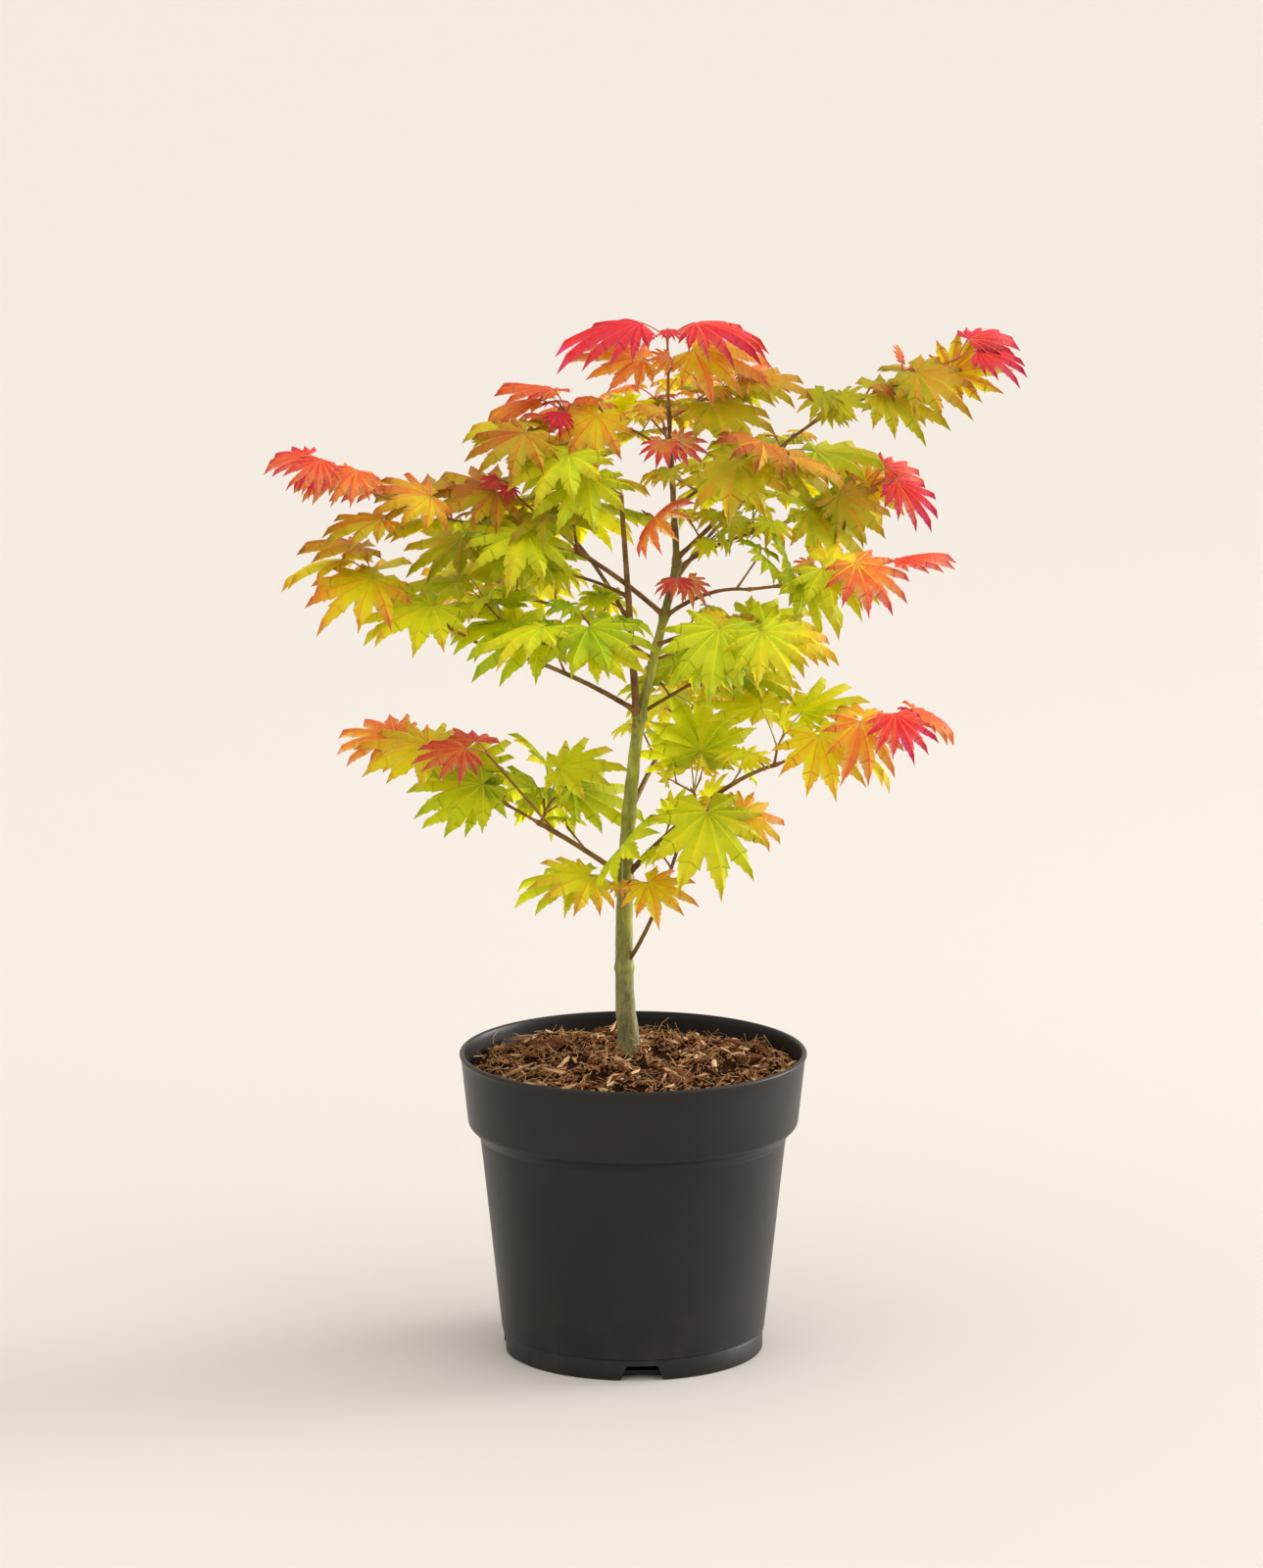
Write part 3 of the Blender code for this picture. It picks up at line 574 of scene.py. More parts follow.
def clumped_points(tree, given):
    """Points spread over the given surface, crowded on its lumps and few in its hollows."""
    crowding = between(tree, carried(tree, "lumps", "FLOAT"), *CROWDING, *CLUMPS)
    density = calculate(tree, "MULTIPLY", crowding, given["Density"])
    inputs = {"Mesh": given["Geometry"], "Density": density, "Seed": given["Seed"]}
    points = result(tree, "GeometryNodeDistributePointsOnFaces", inputs, "Points")
    return moved(tree, points, Offset=combine(tree, Z=given["Lift"]))


def scattered(tree, given, piece, scale, seeds):
    """A copy of a piece on every clumped point, tilted and turned by chance, as real geometry."""
    lowest = calculate(tree, "MULTIPLY", given["Tilt"], -1.0)
    ranges = {"X": (lowest, given["Tilt"]), "Y": (lowest, given["Tilt"]), "Z": (0.0, 2 * math.pi)}
    turns = {axis: random_value(tree, *ranges[axis], seed) for axis, seed in seeds.items()}
    inputs = {
        "Points": clumped_points(tree, given),
        "Instance": piece,
        "Rotation": result(tree, "FunctionNodeEulerToRotation", {"Euler": combine(tree, **turns)}),
        "Scale": scale,
    }
    placed = result(tree, "GeometryNodeInstanceOnPoints", inputs)
    return result(tree, "GeometryNodeRealizeInstances", {"Geometry": placed})


def shaken(tree, geometry, scale, amount, middle):
    """Shifts every point by a noise at its own place, measured from the noise's middle."""
    noise_here = cloud(tree, result(tree, "GeometryNodeInputPosition"), scale, 1.0, output="Color")
    shift = calculate_vector(tree, "SUBTRACT", noise_here, middle)
    return moved(tree, geometry, Offset=calculate_vector(tree, "SCALE", shift, amount))


def kept_inside(tree, geometry):
    """Presses whatever would reach through the pot's wall back against its inner face."""
    place = result(tree, "GeometryNodeInputPosition")
    parts = add_node(tree, "ShaderNodeSeparateXYZ", {"Vector": place}).outputs
    flat = combine(tree, X=parts["X"], Y=parts["Y"])
    radius = result(tree, "ShaderNodeVectorMath", {0: flat}, "Value", operation="LENGTH")
    inner = [corner[0] - WALL - 2 * SOIL_GAP for corner in (COLLAR_FOOT, COLLAR_TOP)]
    limit = between(tree, parts["Z"], *inner, COLLAR_FOOT[1], COLLAR_TOP[1])
    held = calculate(tree, "MINIMUM", calculate(tree, "DIVIDE", limit, radius), 1.0)
    drawn_in = calculate_vector(tree, "SCALE", flat, held)
    upright = combine(tree, Z=parts["Z"])
    return moved(tree, geometry, Position=calculate_vector(tree, "ADD", drawn_in, upright))


def make_chip_tree():
    """Scatters flat, broken pieces over a surface, each turned and tilted its own way."""
    tree, given, out = new_geometry_tree(
        "loose_chips", Density=1000.0, Length=0.005, Width_Share=0.4, Thickness_Share=0.15, Tilt=0.5,
        Lift=0.0005, Roughening=0.0006, Seed=0,
    )
    width = calculate(tree, "MULTIPLY", given["Width Share"], random_value(tree, 0.6, 1.5, 13))
    length = calculate(tree, "MULTIPLY", given["Length"], random_value(tree, 0.25, 1.0, 17))
    shape = combine(tree, X=1.0, Y=width, Z=given["Thickness Share"])
    scale = calculate_vector(tree, "SCALE", shape, length)
    lump = result(tree, "GeometryNodeMeshIcoSphere", {"Radius": 0.5, "Subdivisions": 1}, "Mesh")
    chips = scattered(tree, given, lump, scale, {"X": given["Seed"], "Y": 7, "Z": 11})
    broken = shaken(tree, chips, 700.0, given["Roughening"], (0.5, 0.5, 0.5))
    return finish_tree(tree, kept_inside(tree, broken), given, out)


def make_fibre_tree():
    """Scatters thin curling fibres over a surface."""
    tree, given, out = new_geometry_tree(
        "loose_fibres", Density=1000.0, Length=0.02, Thickness=0.0002, Curl=0.005, Tilt=0.4,
        Lift=0.001, Seed=0,
    )
    line = result(tree, "GeometryNodeCurvePrimitiveLine", {"Start": (-0.5, 0, 0), "End": (0.5, 0, 0)})
    strand = result(tree, "GeometryNodeResampleCurve", {"Curve": line, "Count": 8})
    length = calculate(tree, "MULTIPLY", given["Length"], random_value(tree, 0.3, 1.0, 19))
    strands = scattered(tree, given, strand, length, {"Y": given["Seed"], "Z": 5})
    curled = shaken(tree, strands, 70.0, given["Curl"], (0.5, 0.5, 0.46))
    ring = result(tree, "GeometryNodeCurvePrimitiveCircle", {"Resolution": 3, "Radius": given["Thickness"]})
    inputs = {"Curve": kept_inside(tree, curled), "Profile Curve": ring, "Fill Caps": True}
    return finish_tree(tree, result(tree, "GeometryNodeCurveToMesh", inputs), given, out)


def soil_surface(name, bed):
    """A copy of the bed's upper side, to scatter on, that knows its lumps from its hollows."""
    bm = bmesh.new()
    bm.from_mesh(bed)
    off = [
        face
        for face in bm.faces
        if face.calc_center_median().z < SOIL_EDGE - SOIL_SIDE_DROP
        or face.normal.z < SOIL_STEEPEST
        or math.hypot(*face.calc_center_median().xy) > COLLAR_TOP[0] - WALL - SOIL_MARGIN
    ]
    bmesh.ops.delete(bm, geom=off, context="FACES")
    mesh = as_mesh(bm, name)
    attribute = mesh.attributes.new("lumps", "FLOAT", "POINT")
    attribute.data.foreach_set("value", [soil_lumps(*vertex.co.xy) for vertex in mesh.vertices])
    return new_object(name, mesh)


# Each kind of loose piece: its name, its sizes in the order named above them, and its darkest and palest
# brown. Densities are pieces to the square metre.
CHIP_SIZES = ("Density", "Length", "Width Share", "Thickness Share", "Tilt", "Lift", "Seed")
CHIP_ROUGHENING = 0.28
CHIPS = [
    ("dark_crumbs", (76000.0, 0.004, 0.75, 0.55, 0.9, 0.0004, 3), (0.005, 0.002, 0.001), (0.06, 0.02, 0.007)),
    ("brown_crumbs", (150000.0, 0.0034, 0.6, 0.45, 0.9, 0.0008, 4), (0.05, 0.016, 0.005), (0.7, 0.34, 0.14)),
    ("bark_chips", (9000.0, 0.012, 0.36, 0.14, 0.6, 0.0016, 5), (0.06, 0.022, 0.01), (0.3, 0.115, 0.045)),
    ("bark_lumps", (900.0, 0.024, 0.55, 0.34, 0.4, 0.002, 12), (0.04, 0.016, 0.007), (0.21, 0.08, 0.034)),
    ("pale_chips", (8200.0, 0.0092, 0.26, 0.1, 0.5, 0.0026, 6), (0.48, 0.27, 0.12), (0.9, 0.66, 0.42)),
    ("straw", (1000.0, 0.026, 0.08, 0.07, 0.45, 0.0036, 10), (0.48, 0.26, 0.11), (0.78, 0.53, 0.3)),
]
FIBRE_SIZES = ("Density", "Length", "Thickness", "Curl", "Tilt", "Lift", "Seed")
FIBRES = [
    ("brown_fibres", (52e3, 0.012, 0.00018, 0.012, 0.6, 0.0014, 8), (0.09, 0.03, 0.008), (0.74, 0.39, 0.165)),
    ("pale_fibres", (14e3, 0.018, 0.00017, 0.015, 0.7, 0.0026, 9), (0.46, 0.23, 0.085), (0.8, 0.52, 0.26)),
]
LOOSE_TOP = [(make_chip_tree(), CHIP_SIZES, CHIPS, 0.95), (make_fibre_tree(), FIBRE_SIZES, FIBRES, 0.80)]

bed_mesh = make_soil_bed()
# The bed's colour is partly painted shade, seen in the hollows between the loose pieces.
soil_bed = new_object("potting_mix_bed", bed_mesh, crumbly("coir_and_bark", MIX_DARK_AND_SHADE, MIX_BROWN_AND_SHADE))
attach(soil_bed, BODY)
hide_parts("potting_mix")
for tree, size_names, kinds, roughness in LOOSE_TOP:
    for name, sizes, low, high in kinds:
        piece = soil_surface(name, bed_mesh)
        values = dict(zip(size_names, sizes))
        values["Roughening"] = values["Length"] * CHIP_ROUGHENING
        values["Material"] = crumbly(name, low, high, roughness)
        grow(piece, tree, values)
        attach(piece, BODY)


# ---------------------------------------------------------------- trunk and boughs
# Living wood, one growth: a grey-green trunk that stands in the mix with a slight flare, forks low into a
# left stem and a leader, and puts out thin red-brown boughs in turn, each thickened where it leaves.

GAP = 0.0003
TRUNK_FOOT = (-0.0028, 0.0180)
TRUNK_RADIUS = 0.0056
TRUNK_TIP_RADIUS = 0.0031
FLARE = 0.0012
FLARE_HEIGHT = 0.0060
SWELLING = 0.0006
SWELLING_HEIGHT = 0.0170
SUNK_FOOT = 0.006
TRUNK_STEPS = 16
LIMB_STEPS = 5
COLLAR_REACH = 0.0035
COLLAR_SWELL = 0.55
NODE_SWELL = 0.16
NODE_LENGTH = 0.0022
SUNK_SPREAD = 1.12
LIMB_PIECES = 9
TRUNK_PIECES = 8

Limb = namedtuple("Limb", "name parent share heading reach rise arch sway radius tip_radius")
LIMBS = [
    Limb("trunk", None, 0.00, 292, 0.016, 0.189, 0.000, -0.005, TRUNK_RADIUS, TRUNK_TIP_RADIUS),
    Limb("leader", "trunk", 1.00, 14, 0.021, 0.084, 0.000, 0.000, 0.0028, 0.0021),
    Limb("leader_top", "leader", 1.00, 140, 0.006, 0.086, 0.000, 0.000, 0.0019, 0.0011),
    Limb("left_stem", "trunk", 0.97, 249, 0.025, 0.132, 0.000, 0.000, 0.0023, 0.0012),
    Limb("low_right_twig", "trunk", 0.26, 317, 0.044, 0.083, -0.008, 0.000, 0.0013, 0.0009),
    Limb("low_right_bough", "trunk", 0.53, 335, 0.045, 0.043, 0.002, 0.000, 0.0018, 0.0014),
    Limb("low_right_end", "low_right_bough", 1.00, 337, 0.044, 0.027, 0.003, 0.000, 0.0013, 0.0010),
    Limb("low_left_bough", "trunk", 0.53, 164, 0.050, 0.028, 0.001, 0.000, 0.0016, 0.0013),
    Limb("low_back_bough", "trunk", 0.72, 70, 0.085, 0.038, 0.003, 0.000, 0.0016, 0.0010),
    Limb("fork_twig", "leader", 0.04, 28, 0.037, 0.016, 0.000, 0.000, 0.0011, 0.0008),
    Limb("mid_left_bough", "left_stem", 0.08, 200, 0.089, 0.042, 0.004, 0.000, 0.0015, 0.0009),
    Limb("mid_front_bough", "left_stem", 0.36, 238, 0.045, 0.014, 0.002, 0.000, 0.0012, 0.0009),
    Limb("mid_back_bough", "left_stem", 0.45, 112, 0.082, 0.034, 0.003, 0.000, 0.0013, 0.0009),
    Limb("second_left_bough", "left_stem", 0.57, 153, 0.032, 0.009, 0.001, 0.000, 0.0011, 0.0008),
    Limb("back_left_bough", "leader", 0.38, 140, 0.085, 0.024, 0.004, 0.000, 0.0013, 0.0009),
    Limb("front_right_bough", "leader", 0.48, 300, 0.060, 0.016, 0.002, 0.000, 0.0012, 0.0009),
    Limb("upper_left_bough", "leader", 0.67, 213, 0.057, 0.041, 0.002, 0.000, 0.0015, 0.0012),
    Limb("right_bough", "leader", 0.66, 335, 0.050, 0.019, 0.005, 0.000, 0.0013, 0.0008),
    Limb("back_right_bough", "leader", 0.86, 62, 0.078, 0.032, 0.003, 0.000, 0.0013, 0.0009),
    Limb("second_right_bough", "leader", 0.97, 21, 0.050, 0.018, 0.003, 0.000, 0.0012, 0.0008),
    Limb("upper_right_bough", "leader_top", 0.04, 14, 0.050, 0.052, -0.003, 0.000, 0.0014, 0.0011),
    Limb("upper_right_end", "upper_right_bough", 1.00, 14, 0.041, 0.027, 0.002, 0.000, 0.0010, 0.0008),
    Limb("front_top_bough", "leader_top", 0.35, 312, 0.040, 0.022, 0.002, 0.000, 0.0010, 0.0008),
    Limb("back_top_bough", "leader_top", 0.50, 95, 0.045, 0.024, 0.002, 0.000, 0.0010, 0.0008),
    Limb("top_left_bough", "leader_top", 0.66, 208, 0.024, 0.018, 0.002, 0.000, 0.0009, 0.0007),
]

# Each spray is one stem with pairs of leaves: where it starts, how it runs, its length and its pairs; the
# lengths of its first and last leaves and of their stalks, in millimetres like the stem's; how the stalks
# lift and spread; how the blades hang, lean towards the front and droop at their tips; and how far they
# have turned from green (0) to crimson (1) at the first pair and at the last.
Spray = namedtuple(
    "Spray",
    "name parent share heading climb length pairs leaf last_leaf stalk lift spread hang lean droop"
    " turned last_turned",
)
SPRAY_ROWS = [
    ("low_front", "trunk", 0.50, 262, 8, 22, 2, 40, 34, 26, 24, 72, 14, 16, 0.22, 0.22, 0.46),
    ("low_twig", "low_right_twig", 1.0, 335, 30, 20, 2, 47, 30, 16, 25, 44, 34, 22, 0.20, 0.24, 0.62),
    ("low_right", "low_right_bough", 0.97, 115, 55, 10, 1, 44, 36, 26, 62, 30, -46, 16, 0.15, 0.24, 0.36),
    ("low_right_up", "low_right_end", 0.97, 70, 60, 10, 1, 38, 30, 22, 55, 40, -24, 16, 0.15, 0.30, 0.40),
    ("low_right_end", "low_right_end", 1.0, 340, 24, 66, 3, 38, 34, 18, 30, 56, 26, 18, 0.20, 0.46, 0.88),
    ("low_left", "low_left_bough", 0.97, 60, 42, 14, 2, 44, 36, 22, 36, 68, 6, 14, 0.16, 0.20, 0.30),
    ("low_left_end", "low_left_bough", 1.0, 162, 26, 78, 4, 42, 38, 18, 44, 42, 10, 18, 0.16, 0.22, 0.62),
    ("low_left_up", "low_left_bough", 0.80, 168, 48, 56, 1, 34, 30, 18, 20, 60, 0, 20, 0.20, 0.84, 0.90),
    ("low_back", "low_back_bough", 1.0, 62, 14, 45, 3, 40, 28, 20, 15, 55, 16, -14, 0.18, 0.25, 0.65),
    ("fork", "fork_twig", 1.0, 10, 5, 12, 1, 38, 34, 12, 12, 40, 4, 14, 0.16, 0.26, 0.36),
    ("mid_left", "mid_left_bough", 0.62, 160, 45, 44, 3, 42, 38, 18, 30, 52, 6, 16, 0.16, 0.20, 0.36),
    ("mid_left_end", "mid_left_bough", 1.0, 184, 30, 70, 4, 46, 40, 18, 30, 46, 20, 10, 0.16, 0.28, 0.58),
    ("mid_front", "mid_front_bough", 1.0, 250, 8, 30, 2, 46, 38, 18, 12, 54, 16, 12, 0.18, 0.14, 0.28),
    ("mid_back", "mid_back_bough", 1.0, 118, 15, 40, 3, 40, 30, 20, 15, 55, 16, -14, 0.18, 0.24, 0.62),
    ("back_left", "back_left_bough", 1.0, 138, 14, 42, 3, 40, 32, 20, 15, 55, 16, -14, 0.18, 0.26, 0.72),
    ("second_left", "second_left_bough", 1.0, 170, 12, 50, 3, 44, 40, 18, 24, 52, 8, 16, 0.16, 0.20, 0.38),
    ("leader_right", "leader", 0.38, 345, 24, 44, 2, 46, 40, 16, 16, 42, 12, 16, 0.16, 0.16, 0.30),
    ("front_right", "front_right_bough", 1.0, 312, 10, 26, 2, 44, 36, 18, 10, 50, 18, 14, 0.18, 0.22, 0.38),
    ("upper_left", "upper_left_bough", 0.97, 100, 42, 34, 2, 44, 38, 20, 20, 60, 14, 14, 0.16, 0.18, 0.42),
    ("upper_left_up", "upper_left_bough", 0.84, 178, 42, 50, 2, 43, 40, 18, 18, 46, 4, 16, 0.20, 0.42, 0.58),
    ("upper_left_end", "upper_left_bough", 1.0, 196, 14, 146, 6, 43, 28, 16, 38, 48, 18, 16, 0.2, 0.34, 0.96),
    ("right", "right_bough", 1.0, 345, 9, 68, 4, 39, 34, 15, 28, 46, 18, 22, 0.24, 0.24, 0.92),
    ("back_right", "back_right_bough", 1.0, 64, 14, 40, 3, 40, 30, 20, 15, 55, 16, -14, 0.18, 0.26, 0.65),
    ("second_right", "second_right_bough", 1.0, 14, 18, 64, 4, 42, 30, 16, 28, 44, 16, 24, 0.20, 0.34, 0.90),
    ("upper_right", "upper_right_bough", 0.97, 60, 10, 20, 1, 42, 36, 18, 6, 60, 10, 14, 0.16, 0.30, 0.42),
    ("upper_right_end", "upper_right_end", 0.9, 12, 21, 74, 4, 38, 33, 14, 20, 36, 10, 20, 0.26, 0.38, 0.98),
    ("top", "leader_top", 1.0, 266, 80, 38, 2, 42, 46, 18, 34, 74, -8, 20, 0.34, 0.66, 1.00),
    ("front_top", "front_top_bough", 1.0, 322, 20, 26, 2, 43, 38, 18, 24, 60, 12, 16, 0.20, 0.34, 0.66),
    ("leader_mid", "leader_top", 0.22, 205, 30, 20, 1, 34, 30, 18, 20, 55, 16, 16, 0.28, 0.80, 0.86),
    ("back_top", "back_top_bough", 1.0, 98, 20, 36, 3, 38, 30, 18, 15, 55, 14, -14, 0.20, 0.36, 0.80),
    ("left_top", "left_stem", 1.0, 192, 36, 50, 4, 44, 38, 18, 28, 60, 6, 16, 0.18, 0.22, 0.50),
    ("top_left", "top_left_bough", 1.0, 192, 14, 36, 3, 40, 36, 16, 22, 50, 20, 20, 0.20, 0.56, 0.80),
    ("top_right", "leader_top", 0.92, 8, 28, 30, 2, 42, 38, 18, 18, 50, 10, 16, 0.20, 0.36, 0.58),
]
SPRAYS = [Spray("leaves_" + row[0], *row[1:]) for row in SPRAY_ROWS]
MM = 0.001


def direction(heading, climb=0.0):
    flat = math.cos(math.radians(climb))
    turn = math.radians(heading)
    return Vector((flat * math.cos(turn), flat * math.sin(turn), math.sin(math.radians(climb))))


def point_along(line, share):
    points = line[0]
    place = share * (len(points) - 1)
    index = min(int(place), len(points) - 2)
    return points[index].lerp(points[index + 1], place - index)


def limb_line(limb, lines):
    """The limb's centre points, from inside its parent to its tip, and its radius at each."""
    if limb.parent is None:
        start = Vector((*TRUNK_FOOT, SOIL_TOP + GAP))
        steps = TRUNK_STEPS
    else:
        start = point_along(lines[limb.parent], limb.share)
        steps = LIMB_STEPS
    ahead = direction(limb.heading)
    aside = direction(limb.heading + 90)
    points = []
    radii = []
    for step in range(steps + 1):
        share = step / steps
        bow = 4 * share * (1 - share)
        height = limb.rise * share + limb.arch * bow
        points.append(start + ahead * limb.reach * share + aside * limb.sway * bow + Vector((0, 0, height)))
        radii.append(limb.radius + (limb.tip_radius - limb.radius) * share)
    if limb.parent is None:
        flare_trunk(points, radii)
    return points, radii


def flare_trunk(points, radii):
    """Widens the foot of the trunk, adds the swelling above it, and stands the foot upright."""
    ground = points[0].z
    for index, point in enumerate(points):
        height = point.z - ground
        radii[index] += FLARE * math.exp(-height / FLARE_HEIGHT)
        radii[index] += SWELLING * math.exp(-(((height - SWELLING_HEIGHT) / FLARE_HEIGHT) ** 2))
    points[1].x = points[0].x
    points[1].y = points[0].y


def smooth_run(points, values, pieces):
    """A smooth curve through the points, with the values eased between them."""
    run = []
    for index in range(len(points) - 1):
        before = points[max(0, index - 1)]
        start, end = points[index], points[index + 1]
        after = points[min(len(points) - 1, index + 2)]
        for piece in range(pieces):
            t = piece / pieces
            bend = (
                start * 2
                + (end - before) * t
                + (before * 2 - start * 5 + end * 4 - after) * t**2
                + (start * 3 - before - end * 3 + after) * t**3
            )
            run.append((bend / 2, values[index] + (values[index + 1] - values[index]) * t))
    run.append((points[-1], values[-1]))
    return run


def node_places(limb):
    """Where the limb carries something: the shares at which boughs and sprays leave it."""
    carried = [row.share for row in LIMBS + SPRAYS if row.parent == limb.name]
    return sorted(set(carried))


def swollen_run(limb, line):
    """The limb's fine line with a collar at its foot and a ring of swelling at each node."""
    run = smooth_run(*line, TRUNK_PIECES if limb.parent is None else LIMB_PIECES)
    length = sum((b[0] - a[0]).length for a, b in zip(run, run[1:]))
    travelled = 0.0
    swollen = []
    for index, (point, radius) in enumerate(run):
        if index:
            travelled += (point - run[index - 1][0]).length
        swell = 1.0
        if limb.parent is not None:
            swell += COLLAR_SWELL * math.exp(-((travelled / COLLAR_REACH) ** 2))
        for share in node_places(limb):
            swell += NODE_SWELL * math.exp(-(((travelled - share * length) / NODE_LENGTH) ** 2))
        swollen.append((point, radius * swell))
    if limb.parent is None:
        foot, radius = swollen[0]
        swollen.insert(0, (foot - Vector((0, 0, SUNK_FOOT)), radius * SUNK_SPREAD))
    return swollen


def runs_mesh(name, runs):
    """Several lines in one mesh, with each point's radius as an attribute."""
    points = []
    edges = []
    radii = []
    for run in runs:
        first = len(points)
        points += [tuple(point) for point, radius in run]
        radii += [radius for point, radius in run]
        edges += [(first + i, first + i + 1) for i in range(len(run) - 1)]
    mesh = bpy.data.meshes.new(name)
    mesh.from_pydata(points, edges, [])
    attribute = mesh.attributes.new("radius", "FLOAT", "POINT")
    attribute.data.foreach_set("value", radii)
    return mesh


def smoothed(tree, geometry):
    return result(tree, "GeometryNodeSetShadeSmooth", {"Geometry": geometry})


def make_bark_tree():
    """Turns lines with a radius into round limbs whose bark stands up and sinks in along the grain."""
    tree, given, out = new_geometry_tree(
        "round_limb", Sides=12, Step=0.001, Relief=0.0003, Relief_Scale=300.0, Grain_Stretch=0.35
    )
    line = result(tree, "GeometryNodeMeshToCurve", {"Mesh": given["Geometry"]})
    even = result(tree, "GeometryNodeResampleCurve", {"Curve": line, "Length": given["Step"]}, mode="LENGTH")
    ring = result(tree, "GeometryNodeCurvePrimitiveCircle", {"Resolution": given["Sides"], "Radius": 1.0})
    radius = carried(tree, "radius", "FLOAT")
    inputs = {"Curve": even, "Profile Curve": ring, "Scale": radius, "Fill Caps": True}
    tube = result(tree, "GeometryNodeCurveToMesh", inputs)
    grain = combine(tree, X=1.0, Y=1.0, Z=given["Grain Stretch"])
    stretched = calculate_vector(tree, "MULTIPLY", result(tree, "GeometryNodeInputPosition"), grain)
    bark = cloud(tree, stretched, given["Relief Scale"], 3.0, 0.6)
    rise = calculate(tree, "MULTIPLY", calculate(tree, "SUBTRACT", bark, 0.5), given["Relief"])
    shift = calculate_vector(tree, "SCALE", result(tree, "GeometryNodeInputNormal"), rise)
    return finish_tree(tree, smoothed(tree, moved(tree, tube, Offset=shift)), given, out)


def trunk_bark():
    """Grey-brown at the foot, olive green above, and reddening near the top, with pale breathing pores."""
    material, tree, shader = new_material("trunk_bark", (0.165, 0.150, 0.062), 0.62)
    place = object_place(tree)
    squeeze = result(tree, "ShaderNodeMapping", {"Vector": place, "Scale": (1.0, 1.0, 0.3)})
    low = add_mottle(tree, squeeze, 150.0, 700.0, 0.4, (0.070, 0.064, 0.022), (0.350, 0.310, 0.120))
    mid = add_mottle(tree, squeeze, 110.0, 700.0, 0.3, (0.110, 0.120, 0.006), (0.500, 0.500, 0.055))
    top = add_mottle(tree, squeeze, 130.0, 700.0, 0.3, (0.110, 0.045, 0.014), (0.330, 0.210, 0.045))
    ragged = calculate(tree, "MULTIPLY_ADD", cloud(tree, place, 60.0), 0.06, height_of(tree, place))
    lower = blend(tree, between(tree, ragged, 0.0, 1.0, 0.215, 0.275), low["Color"], mid["Color"])
    whole = blend(tree, between(tree, ragged, 0.0, 1.0, 0.435, 0.49), lower, top["Color"])
    pores = result(tree, "ShaderNodeTexVoronoi", {"Vector": place, "Scale": 380.0}, "Distance")
    pore = between(tree, pores, 0.0, 0.55, 0.22, 0.12)
    connect(tree, shader.inputs, Base_Color=blend(tree, pore, whole, (0.36, 0.30, 0.17, 1.0)))
    add_relief(tree, shader, mid, 0.6, 0.0012, (0.5, 0.75))
    return material


def young_bark(name, low, high):
    """Thin smooth bark of this year's and last year's wood, with a faint bloom."""
    material, tree, shader = new_material(name, high, 0.5, Specular_IOR_Level=0.28)
    skin = add_mottle(tree, object_place(tree), 90.0, 800.0, 0.3, low, high)
    connect(tree, shader.inputs, Base_Color=skin["Color"])
    add_relief(tree, shader, skin, 0.4, 0.0006, (0.42, 0.62))
    return material


BARK_TREE = make_bark_tree()


def round_limbs(name, runs, sides, step, relief, relief_scale, grain_stretch, material):
    """Lines grown into one piece of round limbs."""
    values = {
        "Sides": sides,
        "Step": step,
        "Relief": relief,
        "Relief Scale": relief_scale,
        "Grain Stretch": grain_stretch,
        "Material": material,
    }
    return grow(new_object(name, runs_mesh(name, runs)), BARK_TREE, values)


limb_lines = {}
for limb in LIMBS:
    limb_lines[limb.name] = limb_line(limb, limb_lines)
trunk_limbs = [limb for limb in LIMBS if limb.name in ("trunk", "leader", "leader_top")]
bough_limbs = [limb for limb in LIMBS if limb not in trunk_limbs]

trunk_runs = [swollen_run(limb, limb_lines[limb.name]) for limb in trunk_limbs]
trunk = round_limbs("trunk_and_leader", trunk_runs, 28, 0.0009, 0.0011, 420.0, 0.30, trunk_bark())
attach(trunk, BODY)
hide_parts(*[limb.name for limb in trunk_limbs])

bough_runs = [swollen_run(limb, limb_lines[limb.name]) for limb in bough_limbs]
bough_bark = young_bark("bough_bark", (0.095, 0.032, 0.012), (0.300, 0.170, 0.030))
boughs = round_limbs("stem_and_boughs", bough_runs, 12, 0.0014, 0.0005, 420.0, 1.0, bough_bark)
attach(boughs, BODY)
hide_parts(*[limb.name for limb in bough_limbs])


# ---------------------------------------------------------------- twigs, stalks and buds
# This year's soft growth: each spray's thin red-brown stem, with a knuckle at every pair of leaves, a bowed
# stalk out to each blade, and a pair of pointed crimson buds waiting beside the stalks.

STEM_RADIUS = 0.0009
STEM_TIP_RADIUS = 0.0006
KNUCKLE_SWELL = 0.55
KNUCKLE_LENGTH = 0.0014
STALK_RADIUS = 0.00055
STALK_WAIST = 0.00040
STALK_BOW = 0.07
STALK_STEPS = 10
STALK_FOOT = (0.10, 0.00035)
STALK_HEAD = (0.06, 0.0002)
ROUND_COVER = 2.0
HEADING_WANDER = 6.0
CLIMB_WANDER = 3.0
TWIG_SIDES = 3
TRIES = 24
FIRST_TURN = 11.0
TURN_STEP = 3.0
LIMB_MARGIN = 0.0008
SHARED_STALK = 0.25
BLADE_TWIST = 10.0
END_SPREAD_LOSS = 0.25
LEAF_SIZES = (0.92, 1.06)
STALK_SIZES = (0.85, 1.15)
LOBES = 9
LOBE_SPAN = 116.0
OUTER_LOBE_LOSS = 0.52
NOTCH_SHARE = 0.54
SINUS_SHARE = 0.12
BLADE_THICKNESS = 0.0016
BUD_LENGTH = 0.0030
BUD_WIDTH = 0.0011
BUD_SIZES = (0.7, 1.15)
BUD_SIDEWAYS = 0.7
BUD_UPWARD = 0.35
SHOOT_CHANCE = 0.6
SHOOT_RADIUS = 0.00055
SHOOT_STEPS = 5
SHOOT_FOOT = (0.2, 0.0003)
